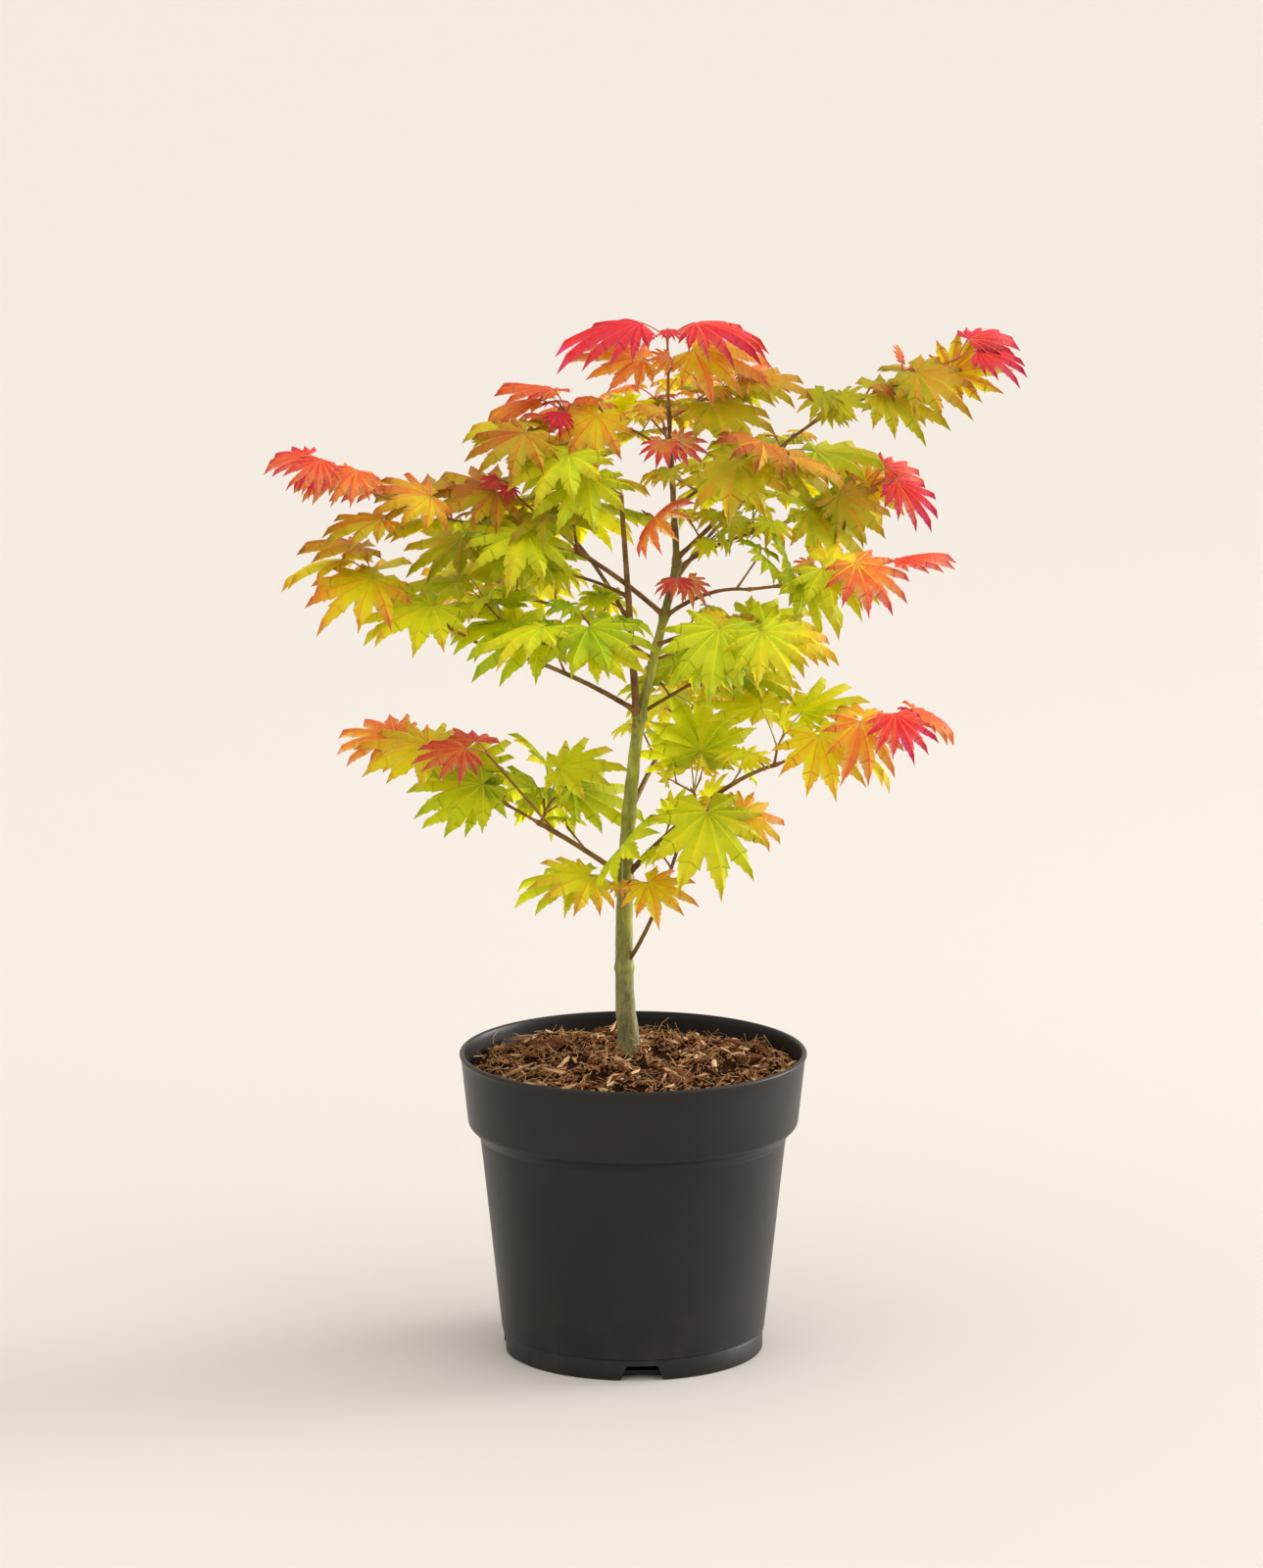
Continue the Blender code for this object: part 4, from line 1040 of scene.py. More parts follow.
SHOOT_HEAD = (0.15, 0.00015)
SHOOT_LENGTHS = (5.0, 15.0)
SHOOT_SPREADS = (24.0, 62.0)
SHOOT_CLIMBS = (12.0, 58.0)
SHOOT_LEAVES = (9.0, 17.0)
SHOOT_STALK = 6.0
SHOOT_DROOP = 0.3
SHOOT_CLEAR = 0.0014
LIMB_SHOOT_PLACES = (0.45, 0.85)
LIMB_SHOOT_STRAY = 0.08
LIMB_SHOOT_CHANCE = 0.45
LIMB_SHOOT_SPREADS = (35.0, 110.0)
LIMB_SHOOT_LENGTHS = (9.0, 24.0)
LIMB_SHOOT_LEAVES = (12.0, 22.0)
LIMB_SHOOT_CLEAR = 0.0056
CENTRE_LIMBS = ("leader", "leader_top", "left_stem")
LIMB_SHOOT_RIPENING = (-0.10, 0.16)
CENTRE_RIPENESS = (0.20, 0.92)
SHOOT_RIPENING = (0.06, 0.34)
RIPENING_CURVE = 1.35

Leaf = namedtuple("Leaf", "spray joint centre turn length droop ripeness")


def leaf_ring():
    """Points round the blade as (reach, angle): the lobes' tips, the notches between and the sinus."""
    angles = [-LOBE_SPAN + 2 * LOBE_SPAN * i / (LOBES - 1) for i in range(LOBES)]
    reaches = [1 - OUTER_LOBE_LOSS * (abs(angle) / LOBE_SPAN) ** 1.5 for angle in angles]
    ring = []
    for index in range(LOBES):
        ring.append((reaches[index], angles[index]))
        if index < LOBES - 1:
            notch = NOTCH_SHARE * (reaches[index] + reaches[index + 1]) / 2
            ring.append((notch, (angles[index] + angles[index + 1]) / 2))
    ring.append((SINUS_SHARE, 180.0))
    return ring


LEAF_RING = leaf_ring()


def blade_frame(lean, heading, hang, roll):
    turn = Matrix.Rotation(math.radians(lean), 3, "X")
    turn = turn @ Matrix.Rotation(math.radians(heading), 3, "Z")
    turn = turn @ Matrix.Rotation(math.radians(hang), 3, "Y")
    return turn @ Matrix.Rotation(math.radians(roll), 3, "X")


def blade_outline(centre, turn, length, droop):
    """The room a blade takes: two shallow stars that share their rim and part at the stalk's end."""
    points = []
    for reach, angle in LEAF_RING:
        across = Vector((math.cos(math.radians(angle)), math.sin(math.radians(angle)), 0.0)) * reach
        across.z = -droop * reach**2
        points.append(centre + turn @ (across * length))
    half = turn @ Vector((0, 0, BLADE_THICKNESS / 2))
    top = len(points)
    points += [centre + half, centre - half]
    faces = []
    for index in range(top):
        following = (index + 1) % top
        faces.append((index, following, top))
        faces.append((following, index, top + 1))
    return points, faces


def prism(start, end, start_radius, end_radius):
    """A three-sided tapering stick as points and faces."""
    turn = (end - start).to_track_quat("Z", "Y").to_matrix()
    points = []
    for place, radius in ((start, start_radius), (end, end_radius)):
        for side in range(TWIG_SIDES):
            angle = 2 * math.pi * side / TWIG_SIDES
            points.append(place + turn @ Vector((radius * math.cos(angle), radius * math.sin(angle), 0)))
    faces = [tuple(reversed(range(TWIG_SIDES))), tuple(range(TWIG_SIDES, 2 * TWIG_SIDES))]
    for side in range(TWIG_SIDES):
        following = (side + 1) % TWIG_SIDES
        faces.append((side, following, following + TWIG_SIDES, side + TWIG_SIDES))
    return points, faces


def shape_tree(shape):
    points, faces = shape
    return BVHTree.FromPolygons([tuple(point) for point in points], faces, epsilon=0.0)


def limb_trees(lines):
    """A slightly fat outline of every limb, for keeping leaves off it."""
    trees = []
    for points, radii in lines.values():
        fat = [(radius + LIMB_MARGIN) * ROUND_COVER for radius in radii]
        for index in range(len(points) - 1):
            trees.append(shape_tree(prism(points[index], points[index + 1], fat[index], fat[index + 1])))
    return trees


def spray_joints(spray, lines, rng):
    """The spray's stem: its start in the parent and the joint of each pair of leaves."""
    joints = [point_along(lines[spray.parent], spray.share)]
    heading = spray.heading
    climb = spray.climb
    for _ in range(spray.pairs):
        joints.append(joints[-1] + direction(heading, climb) * spray.length * MM / spray.pairs)
        heading += rng.uniform(-HEADING_WANDER, HEADING_WANDER)
        climb += rng.uniform(-CLIMB_WANDER, CLIMB_WANDER)
    return joints


def ripeness_at(spray, share):
    """How far the leaves have turned at a share of the stem: slowly at first, fastest at its end."""
    return spray.turned + (spray.last_turned - spray.turned) * share**RIPENING_CURVE


def fit_leaf(spray, joint, stem_heading, side, share, length, rng, taken, other_stems):
    """One leaf beside the stem, turned a little further each time until it touches nothing."""
    spread = spray.spread * (1 - END_SPREAD_LOSS * share)
    size = length * rng.uniform(*LEAF_SIZES)
    reach = spray.stalk * MM * rng.uniform(*STALK_SIZES)
    ripeness = ripeness_at(spray, share)
    for attempt in range(TRIES):
        turn = FIRST_TURN + TURN_STEP * attempt
        heading = stem_heading + side * spread + rng.uniform(-turn, turn)
        lift = spray.lift + rng.uniform(-turn, turn)
        hang = spray.hang + rng.uniform(-turn, turn)
        roll = rng.uniform(-turn, turn)
        centre = joint + direction(heading, lift) * reach
        blade_turn = blade_frame(spray.lean, heading + rng.uniform(-BLADE_TWIST, BLADE_TWIST), hang, roll)
        blade_tree = shape_tree(blade_outline(centre, blade_turn, size, spray.droop))
        clear_start = joint.lerp(centre, SHARED_STALK)
        stalk_tree = shape_tree(prism(clear_start, centre, STALK_RADIUS, STALK_RADIUS))
        if any(tree.overlap(blade_tree) or tree.overlap(stalk_tree) for tree in taken + other_stems):
            continue
        taken += [blade_tree, stalk_tree]
        return Leaf(spray.name, joint, centre, blade_turn, size, spray.droop, ripeness)
    return None


def grow_crown(lines):
    """Every spray's stem and leaves, by the same seeded rule as the solids."""
    generators = {spray.name: random.Random(spray.name) for spray in SPRAYS}
    joints = {spray.name: spray_joints(spray, lines, generators[spray.name]) for spray in SPRAYS}
    fat = STEM_RADIUS * ROUND_COVER
    stems = {
        name: [shape_tree(prism(low, high, fat, fat)) for low, high in zip(run, run[1:])]
        for name, run in joints.items()
    }
    taken = limb_trees(lines)
    leaves = []
    for spray in SPRAYS:
        others = [tree for name, trees in stems.items() if name != spray.name for tree in trees]
        rng = generators[spray.name]
        run = joints[spray.name]
        for pair in range(spray.pairs):
            share = pair / max(1, spray.pairs - 1)
            step = run[pair + 1] - run[pair]
            heading = math.degrees(math.atan2(step.y, step.x))
            length = (spray.leaf + (spray.last_leaf - spray.leaf) * share) * MM
            for side in (-1, 1):
                leaf = fit_leaf(spray, run[pair + 1], heading, side, share, length, rng, taken, others)
                if leaf is not None:
                    leaves.append(leaf)
    return joints, leaves, taken


def limb_shoot_places(rng, limb, line, spray):
    """Where a limb puts out shoots: the start, heading, climb, length and ripeness of each."""
    ripening = [max(0.0, spray.turned + change) for change in LIMB_SHOOT_RIPENING]
    along = line[0][-1] - line[0][0]
    limb_heading = math.degrees(math.atan2(along.y, along.x))
    for share in LIMB_SHOOT_PLACES:
        for side in (-1, 1):
            heading = limb_heading + side * rng.uniform(*LIMB_SHOOT_SPREADS)
            ripeness = rng.uniform(*CENTRE_RIPENESS) if limb.name in CENTRE_LIMBS else rng.uniform(*ripening)
            start = point_along(line, share + rng.uniform(-LIMB_SHOOT_STRAY, LIMB_SHOOT_STRAY))
            climb, length = rng.uniform(*SHOOT_CLIMBS), rng.uniform(*LIMB_SHOOT_LENGTHS)
            if rng.random() < LIMB_SHOOT_CHANCE:
                yield start, heading, climb, length, ripeness


def joint_shoot_places(rng, spray, joints):
    """Where a spray's stem puts out shoots: on either side of its joints, if chance has it."""
    for index, (low, high) in enumerate(zip(joints, joints[1:])):
        stem_heading = math.degrees(math.atan2(high.y - low.y, high.x - low.x))
        ripeness = ripeness_at(spray, index / max(1, spray.pairs - 1))
        for side in (-1, 1):
            if rng.random() < SHOOT_CHANCE:
                heading = stem_heading + side * rng.uniform(*SHOOT_SPREADS)
                young = min(1.0, ripeness + rng.uniform(*SHOOT_RIPENING))
                yield high, heading, rng.uniform(*SHOOT_CLIMBS), rng.uniform(*SHOOT_LENGTHS), young


def grow_shoots(lines, joints_by_spray, taken):
    """The finer twigs: short shoots from joints and limbs, each with a pair of young leaves at its tip."""
    places = []
    for spray in SPRAYS:
        rng = random.Random(f"{spray.name} shoots")
        for place in joint_shoot_places(rng, spray, joints_by_spray[spray.name]):
            places.append((spray, rng, SHOOT_LEAVES, SHOOT_CLEAR, *place))
    for limb in LIMBS[1:]:
        rng = random.Random(f"{limb.name} shoots")
        nearest = next((spray for spray in SPRAYS if spray.parent == limb.name), SPRAYS[0])
        for place in limb_shoot_places(rng, limb, lines[limb.name], nearest):
            places.append((nearest, rng, LIMB_SHOOT_LEAVES, LIMB_SHOOT_CLEAR, *place))
    shoots = []
    young_leaves = []
    for spray, rng, sizes, clear, start, heading, climb, length, young in places:
        ahead = direction(heading, climb)
        tip = start + ahead * length * MM
        habit = spray._replace(stalk=SHOOT_STALK, turned=young, last_turned=young, droop=SHOOT_DROOP)
        stem_tree = shape_tree(prism(start + ahead * clear, tip, SHOOT_RADIUS, SHOOT_RADIUS))
        if any(tree.overlap(stem_tree) for tree in taken):
            continue
        size = rng.uniform(*sizes) * MM
        pair = [fit_leaf(habit, tip, heading, side, 1.0, size, rng, taken, [stem_tree]) for side in (-1, 1)]
        pair = [leaf for leaf in pair if leaf is not None]
        if pair:
            taken.append(stem_tree)
            shoots.append((start, tip))
            young_leaves += pair
    return shoots, young_leaves


def stem_run(joints):
    """A spray's stem with a knuckle at each pair of leaves."""
    steps = len(joints) - 1
    radii = [STEM_RADIUS + (STEM_TIP_RADIUS - STEM_RADIUS) * i / steps for i in range(steps + 1)]
    knuckled = []
    for point, radius in smooth_run(joints, radii, 10):
        nearest = min((point - joint).length for joint in joints)
        knuckled.append((point, radius * (1 + KNUCKLE_SWELL * math.exp(-((nearest / KNUCKLE_LENGTH) ** 2)))))
    return knuckled


def swollen_ends(share, foot, tip):
    """How much thicker a stalk is at its foot and its tip, each given as (share of the stalk, thickness)."""
    swell = math.exp(-((share / foot[0]) ** 2)) * foot[1]
    return swell + math.exp(-(((1 - share) / tip[0]) ** 2)) * tip[1]


def stalk_run(leaf):
    """A stalk that bows upward from the joint, swollen at its foot and again where it meets the blade."""
    span = leaf.centre - leaf.joint
    bow = Vector((0, 0, span.length * STALK_BOW))
    run = []
    for share in (step / STALK_STEPS for step in range(STALK_STEPS + 1)):
        point = leaf.joint + span * share + bow * 4 * share * (1 - share)
        run.append((point, STALK_WAIST + swollen_ends(share, STALK_FOOT, STALK_HEAD)))
    return run


def shoot_run(shoot):
    """A thin side twig, a little swollen at its foot and under its pair of leaves."""
    run = []
    for share in (step / SHOOT_STEPS for step in range(SHOOT_STEPS + 1)):
        point = shoot[0].lerp(shoot[1], share)
        run.append((point, SHOOT_RADIUS + swollen_ends(share, SHOOT_FOOT, SHOOT_HEAD)))
    return run


def make_bud_tree():
    """Stands a small pointed bud on every point, along the direction that the point carries."""
    tree, given, out = new_geometry_tree("axil_buds", Length=0.002, Width=0.001, Seed=2)
    ahead = carried(tree, "ahead", "FLOAT_VECTOR")
    ball = result(tree, "GeometryNodeMeshUVSphere", {"Segments": 8, "Rings": 6, "Radius": 0.5}, "Mesh")
    place = result(tree, "GeometryNodeInputPosition")
    upward = calculate(tree, "ADD", height_of(tree, place), 0.5)
    slim = between(tree, upward, 1.0, 0.35, 0.2, 1.0)
    pointed = calculate_vector(tree, "MULTIPLY", place, combine(tree, X=slim, Y=slim, Z=1.0))
    bud = moved(tree, ball, Position=calculate_vector(tree, "ADD", pointed, (0, 0, 0.42)))
    size = combine(tree, X=given["Width"], Y=given["Width"], Z=given["Length"])
    inputs = {
        "Points": given["Geometry"],
        "Instance": bud,
        "Rotation": result(tree, "FunctionNodeAlignRotationToVector", {"Vector": ahead}, axis="Z"),
        "Scale": calculate_vector(tree, "SCALE", size, random_value(tree, *BUD_SIZES, given["Seed"])),
    }
    buds = result(tree, "GeometryNodeInstanceOnPoints", inputs)
    return finish_tree(tree, smoothed(tree, buds), given, out)


def bud_points(joints_by_spray):
    """Two buds at every joint, one on each side, leaning with the stem."""
    places = []
    aheads = []
    for joints in joints_by_spray.values():
        for low, high in zip(joints, joints[1:]):
            along = (high - low).normalized()
            aside = along.cross(Vector((0, 0, 1))).normalized()
            for side in (-1, 1):
                lean = (along + aside * side * BUD_SIDEWAYS + Vector((0, 0, BUD_UPWARD))).normalized()
                places.append(tuple(high + lean * STEM_TIP_RADIUS))
                aheads.append(lean)
    mesh = bpy.data.meshes.new("axil_buds")
    mesh.from_pydata(places, [], [])
    attribute = mesh.attributes.new("ahead", "FLOAT_VECTOR", "POINT")
    attribute.data.foreach_set("vector", [value for ahead in aheads for value in ahead])
    return mesh


def soft_skin(name, colour):
    """Smooth living skin in one plain colour, with a fine ribbing in its relief and shine."""
    material, tree, shader = new_material(name, colour, 0.42)
    ribs = cloud(tree, object_place(tree), 700.0)
    add_relief(tree, shader, {"Height": ribs, "Mask": ribs}, 0.25, 0.0004, (0.36, 0.52))
    return material


stem_joints, leaves, taken = grow_crown(limb_lines)
shoots, young_leaves = grow_shoots(limb_lines, stem_joints, taken)

stem_runs = [stem_run(joints) for joints in stem_joints.values()] + [shoot_run(shoot) for shoot in shoots]
young_stem = young_bark("young_stem", (0.200, 0.052, 0.016), (0.420, 0.210, 0.045))
stems = round_limbs("spray_stems", stem_runs, 8, 0.0012, 0.0001, 500.0, 1.0, young_stem)
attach(stems, BODY)

STALK_KINDS = [
    ("green_stalks", 0.00, 0.36, (0.380, 0.400, 0.060)),
    ("amber_stalks", 0.36, 0.62, (0.520, 0.270, 0.090)),
    ("red_stalks", 0.62, 2.00, (0.520, 0.110, 0.070)),
]
for name, low, high, colour in STALK_KINDS:
    stalk_runs = [stalk_run(leaf) for leaf in leaves + young_leaves if low <= leaf.ripeness < high]
    piece = round_limbs(name, stalk_runs, 6, 0.0024, 0.0, 500.0, 1.0, soft_skin(name, colour))
    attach(piece, BODY)

buds = new_object("axil_buds", bud_points(stem_joints))
bud_values = {"Length": BUD_LENGTH, "Width": BUD_WIDTH, "Seed": 2}
bud_values["Material"] = soft_skin("bud_scales", (0.300, 0.060, 0.040))
grow(buds, make_bud_tree(), bud_values)
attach(buds, BODY)


# ---------------------------------------------------------------- leaves
# Thin living blades of nine toothed lobes that spread from the stalk's end like an umbrella, pleated along
# their ribs. Green inside the crown, they ripen through gold to crimson at the ends of the boughs.

LEAF_THICKNESS = 0.00035
SINUS_ANGLE = 152.0
SINUS_REACH = 0.27
INNER_ROWS = 3
TEETH = [(0.12, 1.02), (0.28, 1.06), (0.32, 0.84), (0.50, 0.80), (0.54, 0.55), (0.72, 0.45), (0.76, 0.25)]
YOUNG_INNER_ROWS = 1
YOUNG_TEETH = [(0.24, 1.05), (0.32, 0.80), (0.62, 0.55), (0.68, 0.34)]
TOOTH_SPREAD = (0.92, 1.08)
TOOTH_FORWARD = 0.02
NOTCH_BACK = 0.015
BROAD_TOOTH = 0.9
REACH_SPREAD = (0.93, 1.05)
CUT_SPREAD = (0.92, 1.06)
LOBE_FOOT_SPREAD = 1.02
GATHER_FROM = 0.55
GATHER = 0.34
LOBE_RIPENESS = 0.06
LOBE_LIFTS = (-0.20, 0.07)
LOBE_TURN = 2.5
RIB_RIPENESS = 0.13
# The two halves of each lobe sit apart on the run: partly real ripening, partly painted shade across the
# fold.
SIDE_LAG_AND_SHADE = 0.032
BRONZE_AND_SHADE_SIDE_LAG = 0.08
NOTCH_DEPTH_SHARE = 0.97
RIB_RISE = 0.125
TIP_FALL = 0.13
TIP_FALL_SPREAD = (0.4, 2.4)
TIP_FALL_FROM = 0.6
FOLD_MOST = 0.16
FOLD_SLOPE = 0.5
GATHERED_FOLD = 0.5
TIP_LEADS = (0.05, 0.34)
CRIMSON_TIP_LEADS = (-0.16, 0.05)
CRIMSON_FROM = 0.75
RED_RIBS_TO = 0.72
MIDDLE_REACH = 0.45
RIB_WIDTH = 0.011
RIB_FOOT = 1.15
TINT_STEPS = 24
BRONZE_AND_SHADE_STEPS = 8
RIPENING = [
    (0.00, (100, 144, 2)),
    (0.15, (148, 178, 4)),
    (0.30, (198, 208, 8)),
    (0.44, (234, 206, 14)),
    (0.56, (240, 160, 22)),
    (0.68, (234, 100, 36)),
    (0.82, (234, 56, 54)),
    (1.00, (212, 22, 48)),
]
# The bronze run is partly real bronzing and partly painted shade, for darker leaves high in the crown.
BRONZE_AND_SHADE_RUN = [
    (0.00, (96, 124, 2)),
    (0.35, (150, 148, 4)),
    (0.60, (196, 126, 14)),
    (0.80, (162, 62, 14)),
    (1.00, (130, 28, 16)),
]
BRONZE_AND_SHADE_SHARE = 0.26
BRONZE_AND_SHADE_HEIGHT = 0.445
BRONZE_AND_SHADE_SPRAYS = ("leaves_upper_right_end", "leaves_upper_left_up", "leaves_front_top")
RIPENESS_SPREAD = 0.13
GREEN_SPREAD = 0.3
RIPE_FOR_BRONZE_AND_SHADE = (0.15, 0.75)
SHARP_FOLD = 60
RELIEF_INPUTS = [("Vector", "Vector", None), ("Vein Spacing", "Float", 3.0), ("Net Scale", "Float", 1.6)]
RELIEF_OUTPUTS = [("Height", "Float", None), ("Mask", "Float", None)]


def linear(channel):
    share = channel / 255
    return share / 12.92 if share <= 0.04045 else ((share + 0.055) / 1.055) ** 2.4


def ripe_colour(ripeness, run):
    for (low, low_colour), (high, high_colour) in zip(run, run[1:]):
        if ripeness <= high:
            share = (ripeness - low) / (high - low)
            return tuple(linear(a + (b - a) * share) for a, b in zip(low_colour, high_colour))
    return tuple(linear(channel) for channel in run[-1][1])


def make_leaf_relief():
    """Side veins that slant off each rib, with a fine net between them, read from the blade's own map."""
    group, given, out = new_group("leaf_relief", RELIEF_INPUTS, RELIEF_OUTPUTS)
    parts = add_node(group, "ShaderNodeSeparateXYZ", {"Vector": given["Vector"]}).outputs
    slanted = calculate(group, "MULTIPLY_ADD", calculate(group, "ABSOLUTE", parts["X"]), -0.9, parts["Y"])
    wave = calculate(group, "PINGPONG", calculate(group, "DIVIDE", slanted, given["Vein Spacing"]), 1.0)
    vein = between(group, wave, 0.0, 1.0, 0.0, 0.35)
    inputs = {"Vector": given["Vector"], "Scale": given["Net Scale"]}
    net = result(group, "ShaderNodeTexVoronoi", inputs, "Distance", feature="DISTANCE_TO_EDGE")
    cells = between(group, net, 0.0, 1.0, 0.0, 0.15)
    connect(group, out, Height=calculate(group, "MULTIPLY_ADD", cells, 0.25, vein), Mask=vein)
    return group


LEAF_RELIEF = make_leaf_relief()


def leaf_tint(name, colour):
    """One plain colour of a ripening run, with the veins in its relief and shine."""
    material, tree, shader = new_material(
        name, colour, 0.5,
        Subsurface_Weight=0.7, Subsurface_Radius=(1.0, 0.8, 0.2), Subsurface_Scale=0.004,
        Specular_IOR_Level=0.22,
    )
    blade_map = result(tree, "ShaderNodeUVMap", uv_map="blade")
    relief = add_node(tree, "ShaderNodeGroup", {"Vector": blade_map}, node_tree=LEAF_RELIEF)
    add_relief(tree, shader, relief.outputs, 0.5, 0.0004, (0.44, 0.58))
    return material


class BladeMesh:
    """Collects blades into one mesh: two sheets that share their rim, with a tint for every face."""

    def __init__(self):
        self.points = []
        self.maps = []
        self.faces = []
        self.tints = []

    def add_point(self, point, map_point):
        self.points.append(tuple(point))
        self.maps.append(map_point)
        return len(self.points) - 1

    def add_face(self, corners, sheet, tint):
        """A face of the upper sheet, or of the lower one with its corners the other way round."""
        corners = tuple(dict.fromkeys(corners))
        self.faces.append(corners if sheet == 0 else corners[::-1])
        self.tints.append(tint)


def tint_at(blade_ripeness, tip_shift, bronze, reach, side):
    """Ripening of part of a blade: tips lead, ribs paler or redder, one side lags partly as painted shade."""
    ripeness = blade_ripeness + tip_shift * (reach - MIDDLE_REACH)
    if side == 0:
        ripeness += RIB_RIPENESS if blade_ripeness < RED_RIBS_TO else -RIB_RIPENESS
    else:
        ripeness += side * (BRONZE_AND_SHADE_SIDE_LAG if bronze else SIDE_LAG_AND_SHADE)
    steps = BRONZE_AND_SHADE_STEPS if bronze else TINT_STEPS
    step = min(steps - 1, max(0, round(ripeness * (steps - 1))))
    return step + TINT_STEPS if bronze else step


def polar(angle, reach):
    return reach * math.cos(math.radians(angle)), reach * math.sin(math.radians(angle))


def add_blade(blades, leaf, rng, inner_rows, teeth):
    """One leaf: every lobe is a ladder of rows from the stalk's end, with a raised rib down its middle."""
    gather = 1 - GATHER * min(1.0, max(0.0, (leaf.ripeness - GATHER_FROM) / (1 - GATHER_FROM)))
    span = LOBE_SPAN * gather
    angles = [-span + 2 * span * i / (LOBES - 1) + rng.uniform(-LOBE_TURN, LOBE_TURN) for i in range(LOBES)]
    reaches = [1 - OUTER_LOBE_LOSS * min(1, abs(angle) / span) ** 1.5 for angle in angles]
    reaches = [reach * rng.uniform(*REACH_SPREAD) for reach in reaches]
    edges = [(-SINUS_ANGLE * gather, SINUS_REACH)]
    for index in range(LOBES - 1):
        notch = NOTCH_SHARE * NOTCH_DEPTH_SHARE * (reaches[index] + reaches[index + 1]) / 2
        edges.append(((angles[index] + angles[index + 1]) / 2, notch * rng.uniform(*CUT_SPREAD)))
    edges.append((SINUS_ANGLE * gather, SINUS_REACH))
    fold = rng.uniform(0.0, FOLD_MOST) + GATHERED_FOLD * (1 - gather)
    tip_fall = TIP_FALL * rng.uniform(*TIP_FALL_SPREAD)
    tip_shift = rng.uniform(*(TIP_LEADS if leaf.ripeness < CRIMSON_FROM else CRIMSON_TIP_LEADS))
    spread = min(1.0, GREEN_SPREAD + leaf.ripeness)
    ripeness = leaf.ripeness + rng.uniform(-RIPENESS_SPREAD, RIPENESS_SPREAD) * spread
    # Leaves high in the crown may take the bronze run: partly real bronzing, partly painted shade.
    may_bronze_and_shade = leaf.centre.z > BRONZE_AND_SHADE_HEIGHT and RIPE_FOR_BRONZE_AND_SHADE[0] < leaf.ripeness < RIPE_FOR_BRONZE_AND_SHADE[1]
    bronze = may_bronze_and_shade and (rng.random() < BRONZE_AND_SHADE_SHARE or leaf.spray in BRONZE_AND_SHADE_SPRAYS)
    half = LEAF_THICKNESS / 2

    def pin(place, rise, sheet, across, along):
        """Adds a point of one sheet, or of the rim, with its place in the blade's map in millimetres."""
        x, y = place
        out = math.hypot(x, y)
        fall = tip_fall * max(0.0, out - TIP_FALL_FROM) ** 1.5
        z = -leaf.droop * out**2 - fall - fold * abs(y) * FOLD_SLOPE + rise
        point = leaf.centre + leaf.turn @ (Vector((x, y, z)) * leaf.length + Vector((0, 0, sheet * half)))
        return blades.add_point(point, (across * leaf.length * 1000, along * leaf.length * 1000))

    def both_sheets(place, rise, across, along):
        return tuple(pin(place, rise, sheet, across, along) for sheet in (1, -1))

    def at_rim(place, rise, across, along):
        return (pin(place, rise, 0, across, along),) * 2

    apex = pin((0, 0), 0, 0, 0.0, 0.0)
    rays = []
    for index, (angle, reach) in enumerate(edges):
        ray = []
        for row in range(1, inner_rows + 1):
            along = reach * row / inner_rows
            kind = at_rim if index in (0, LOBES) or row == inner_rows else both_sheets
            ray.append(kind(polar(angle, along), 0.0, 0.0, along))
        rays.append(ray)
    for lobe, (angle, reach) in enumerate(zip(angles, reaches)):
        base = (edges[lobe + 1][1] + edges[lobe][1]) / 2 * LOBE_FOOT_SPREAD
        lift = rng.uniform(*LOBE_LIFTS)
        ahead = Vector(polar(angle, 1.0))
        aside = Vector((-ahead.y, ahead.x))
        half_width = base * math.sin(math.radians(span / (LOBES - 1)))
        lobe_ripeness = ripeness + rng.uniform(-LOBE_RIPENESS, LOBE_RIPENESS)
        rows = [(base * row / inner_rows, None) for row in range(1, inner_rows + 1)]
        for share, width in teeth:
            rows.append((base + (reach - base) * share, width * half_width * rng.uniform(*TOOTH_SPREAD)))
        ladder = [((apex, apex),) * 4]
        for row, (along, width) in enumerate(rows):
            bend = lift * max(0.0, along - base)
            middle = ahead * along
            rib = RIB_WIDTH * (RIB_FOOT - along)
            ribs = []
            for side in (1, -1):
                place = middle + aside * rib * side
                ribs.append(both_sheets(place, RIB_RISE * along + bend, rib * side, along))
            if width is None:
                rims = [rays[lobe + 1][row], rays[lobe][row]]
            else:
                shift = TOOTH_FORWARD if width > half_width * BROAD_TOOTH else -NOTCH_BACK
                rims = []
                for side in (1, -1):
                    place = middle + aside * width * side + ahead * shift
                    rims.append(at_rim(place, bend, width * side, along))
            ladder.append((rims[0], *ribs, rims[1]))
        ladder.append((at_rim(ahead * reach, lift * (reach - base), 0.0, reach),) * 4)
        middles = [0.1] + [(low[0] + high[0]) / 2 for low, high in zip(rows, rows[1:])] + [1.0]
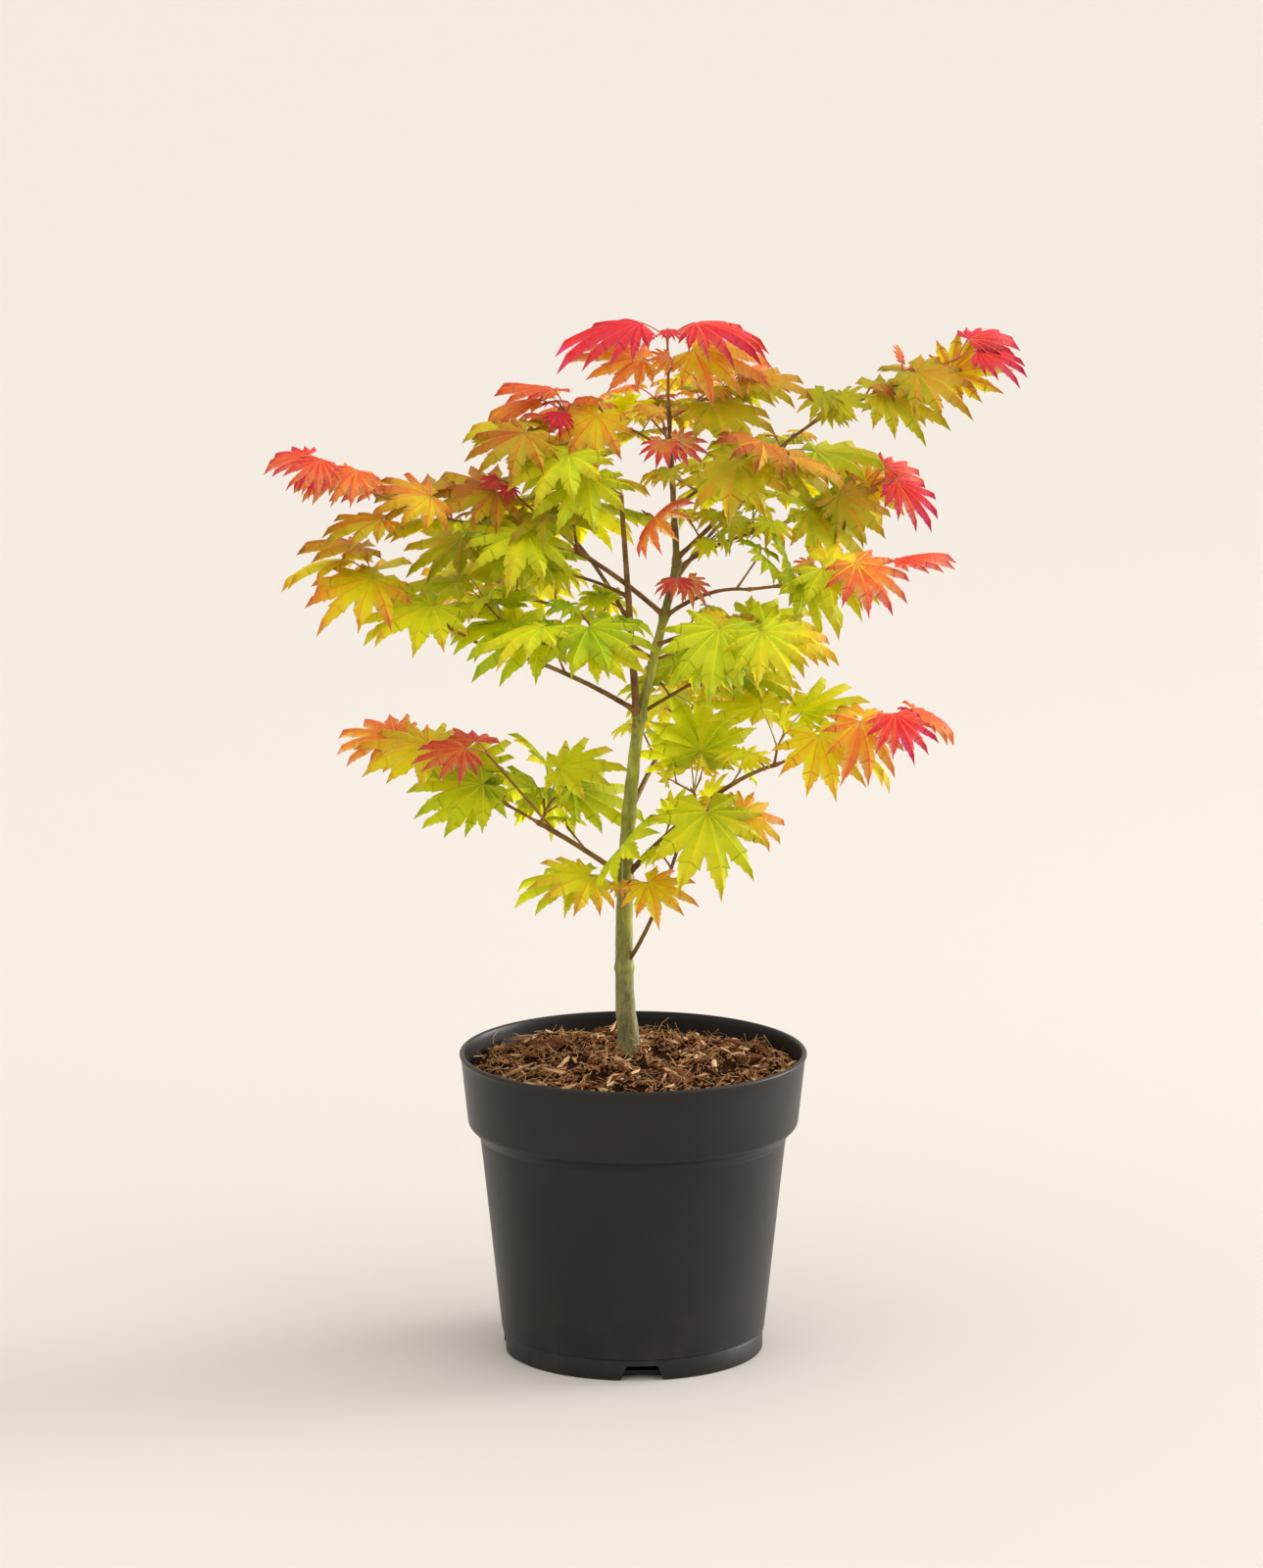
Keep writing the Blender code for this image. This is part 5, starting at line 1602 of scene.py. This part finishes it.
        # One half of each lobe lags a step: partly real ripening, partly painted shade across the fold.
        lag_and_shade_side = -1 if lobe < LOBES // 2 else 1
        for sheet in (0, 1):
            for middle, low, high in zip(middles, ladder, ladder[1:]):
                for column in range(3):
                    corners = (low[column], low[column + 1], high[column + 1], high[column])
                    tint = tint_at(lobe_ripeness, tip_shift, bronze, middle, lag_and_shade_side * (column - 1))
                    blades.add_face([pair[sheet] for pair in corners], sheet, tint)


def blades_object(name, grown, young):
    """Joins a kind of leaves and its young leaves into one piece, with the tints that it uses."""
    blades = BladeMesh()
    for leaf in grown:
        add_blade(blades, leaf, random.Random(f"{leaf.spray} {leaf.centre.x:.5f}"), INNER_ROWS, TEETH)
    for leaf in young:
        add_blade(blades, leaf, random.Random(f"young {leaf.centre.x:.5f}"), YOUNG_INNER_ROWS, YOUNG_TEETH)
    mesh = bpy.data.meshes.new(name)
    mesh.from_pydata(blades.points, [], blades.faces)
    mapped = mesh.uv_layers.new(name="blade")
    for loop in mesh.loops:
        mapped.data[loop.index].uv = blades.maps[loop.vertex_index]
    used = sorted(set(blades.tints))
    obj = new_object(name, mesh, *[LEAF_TINTS[tint] for tint in used])
    mesh.polygons.foreach_set("material_index", [used.index(tint) for tint in blades.tints])
    mesh.shade_smooth()
    mesh.set_sharp_from_angle(angle=math.radians(SHARP_FOLD))
    return obj


# The bronze tints are partly painted shade for darker leaves high in the crown.
LEAF_TINTS = [
    leaf_tint(f"{name}_{step:02d}", ripe_colour(step / (steps - 1), run))
    for name, run, steps in (("leaf_turning", RIPENING, TINT_STEPS), ("leaf_bronze", BRONZE_AND_SHADE_RUN, BRONZE_AND_SHADE_STEPS))
    for step in range(steps)
]
LEAF_PIECES = {
    "lower_leaves": [spray.name for spray in SPRAYS if spray.name.startswith(("leaves_low", "leaves_fork"))],
    "upper_leaves": [
        spray.name
        for spray in SPRAYS
        if spray.parent in ("leader_top", "left_stem") or "top" in spray.name or "upper" in spray.name
    ],
}
LEAF_PIECES["middle_leaves"] = [
    spray.name for spray in SPRAYS if not any(spray.name in names for names in LEAF_PIECES.values())
]
for name, sprays in LEAF_PIECES.items():
    grown, young = ([leaf for leaf in some if leaf.spray in sprays] for some in (leaves, young_leaves))
    piece = blades_object(name, grown, young)
    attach(piece, BODY)
    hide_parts(*sprays)
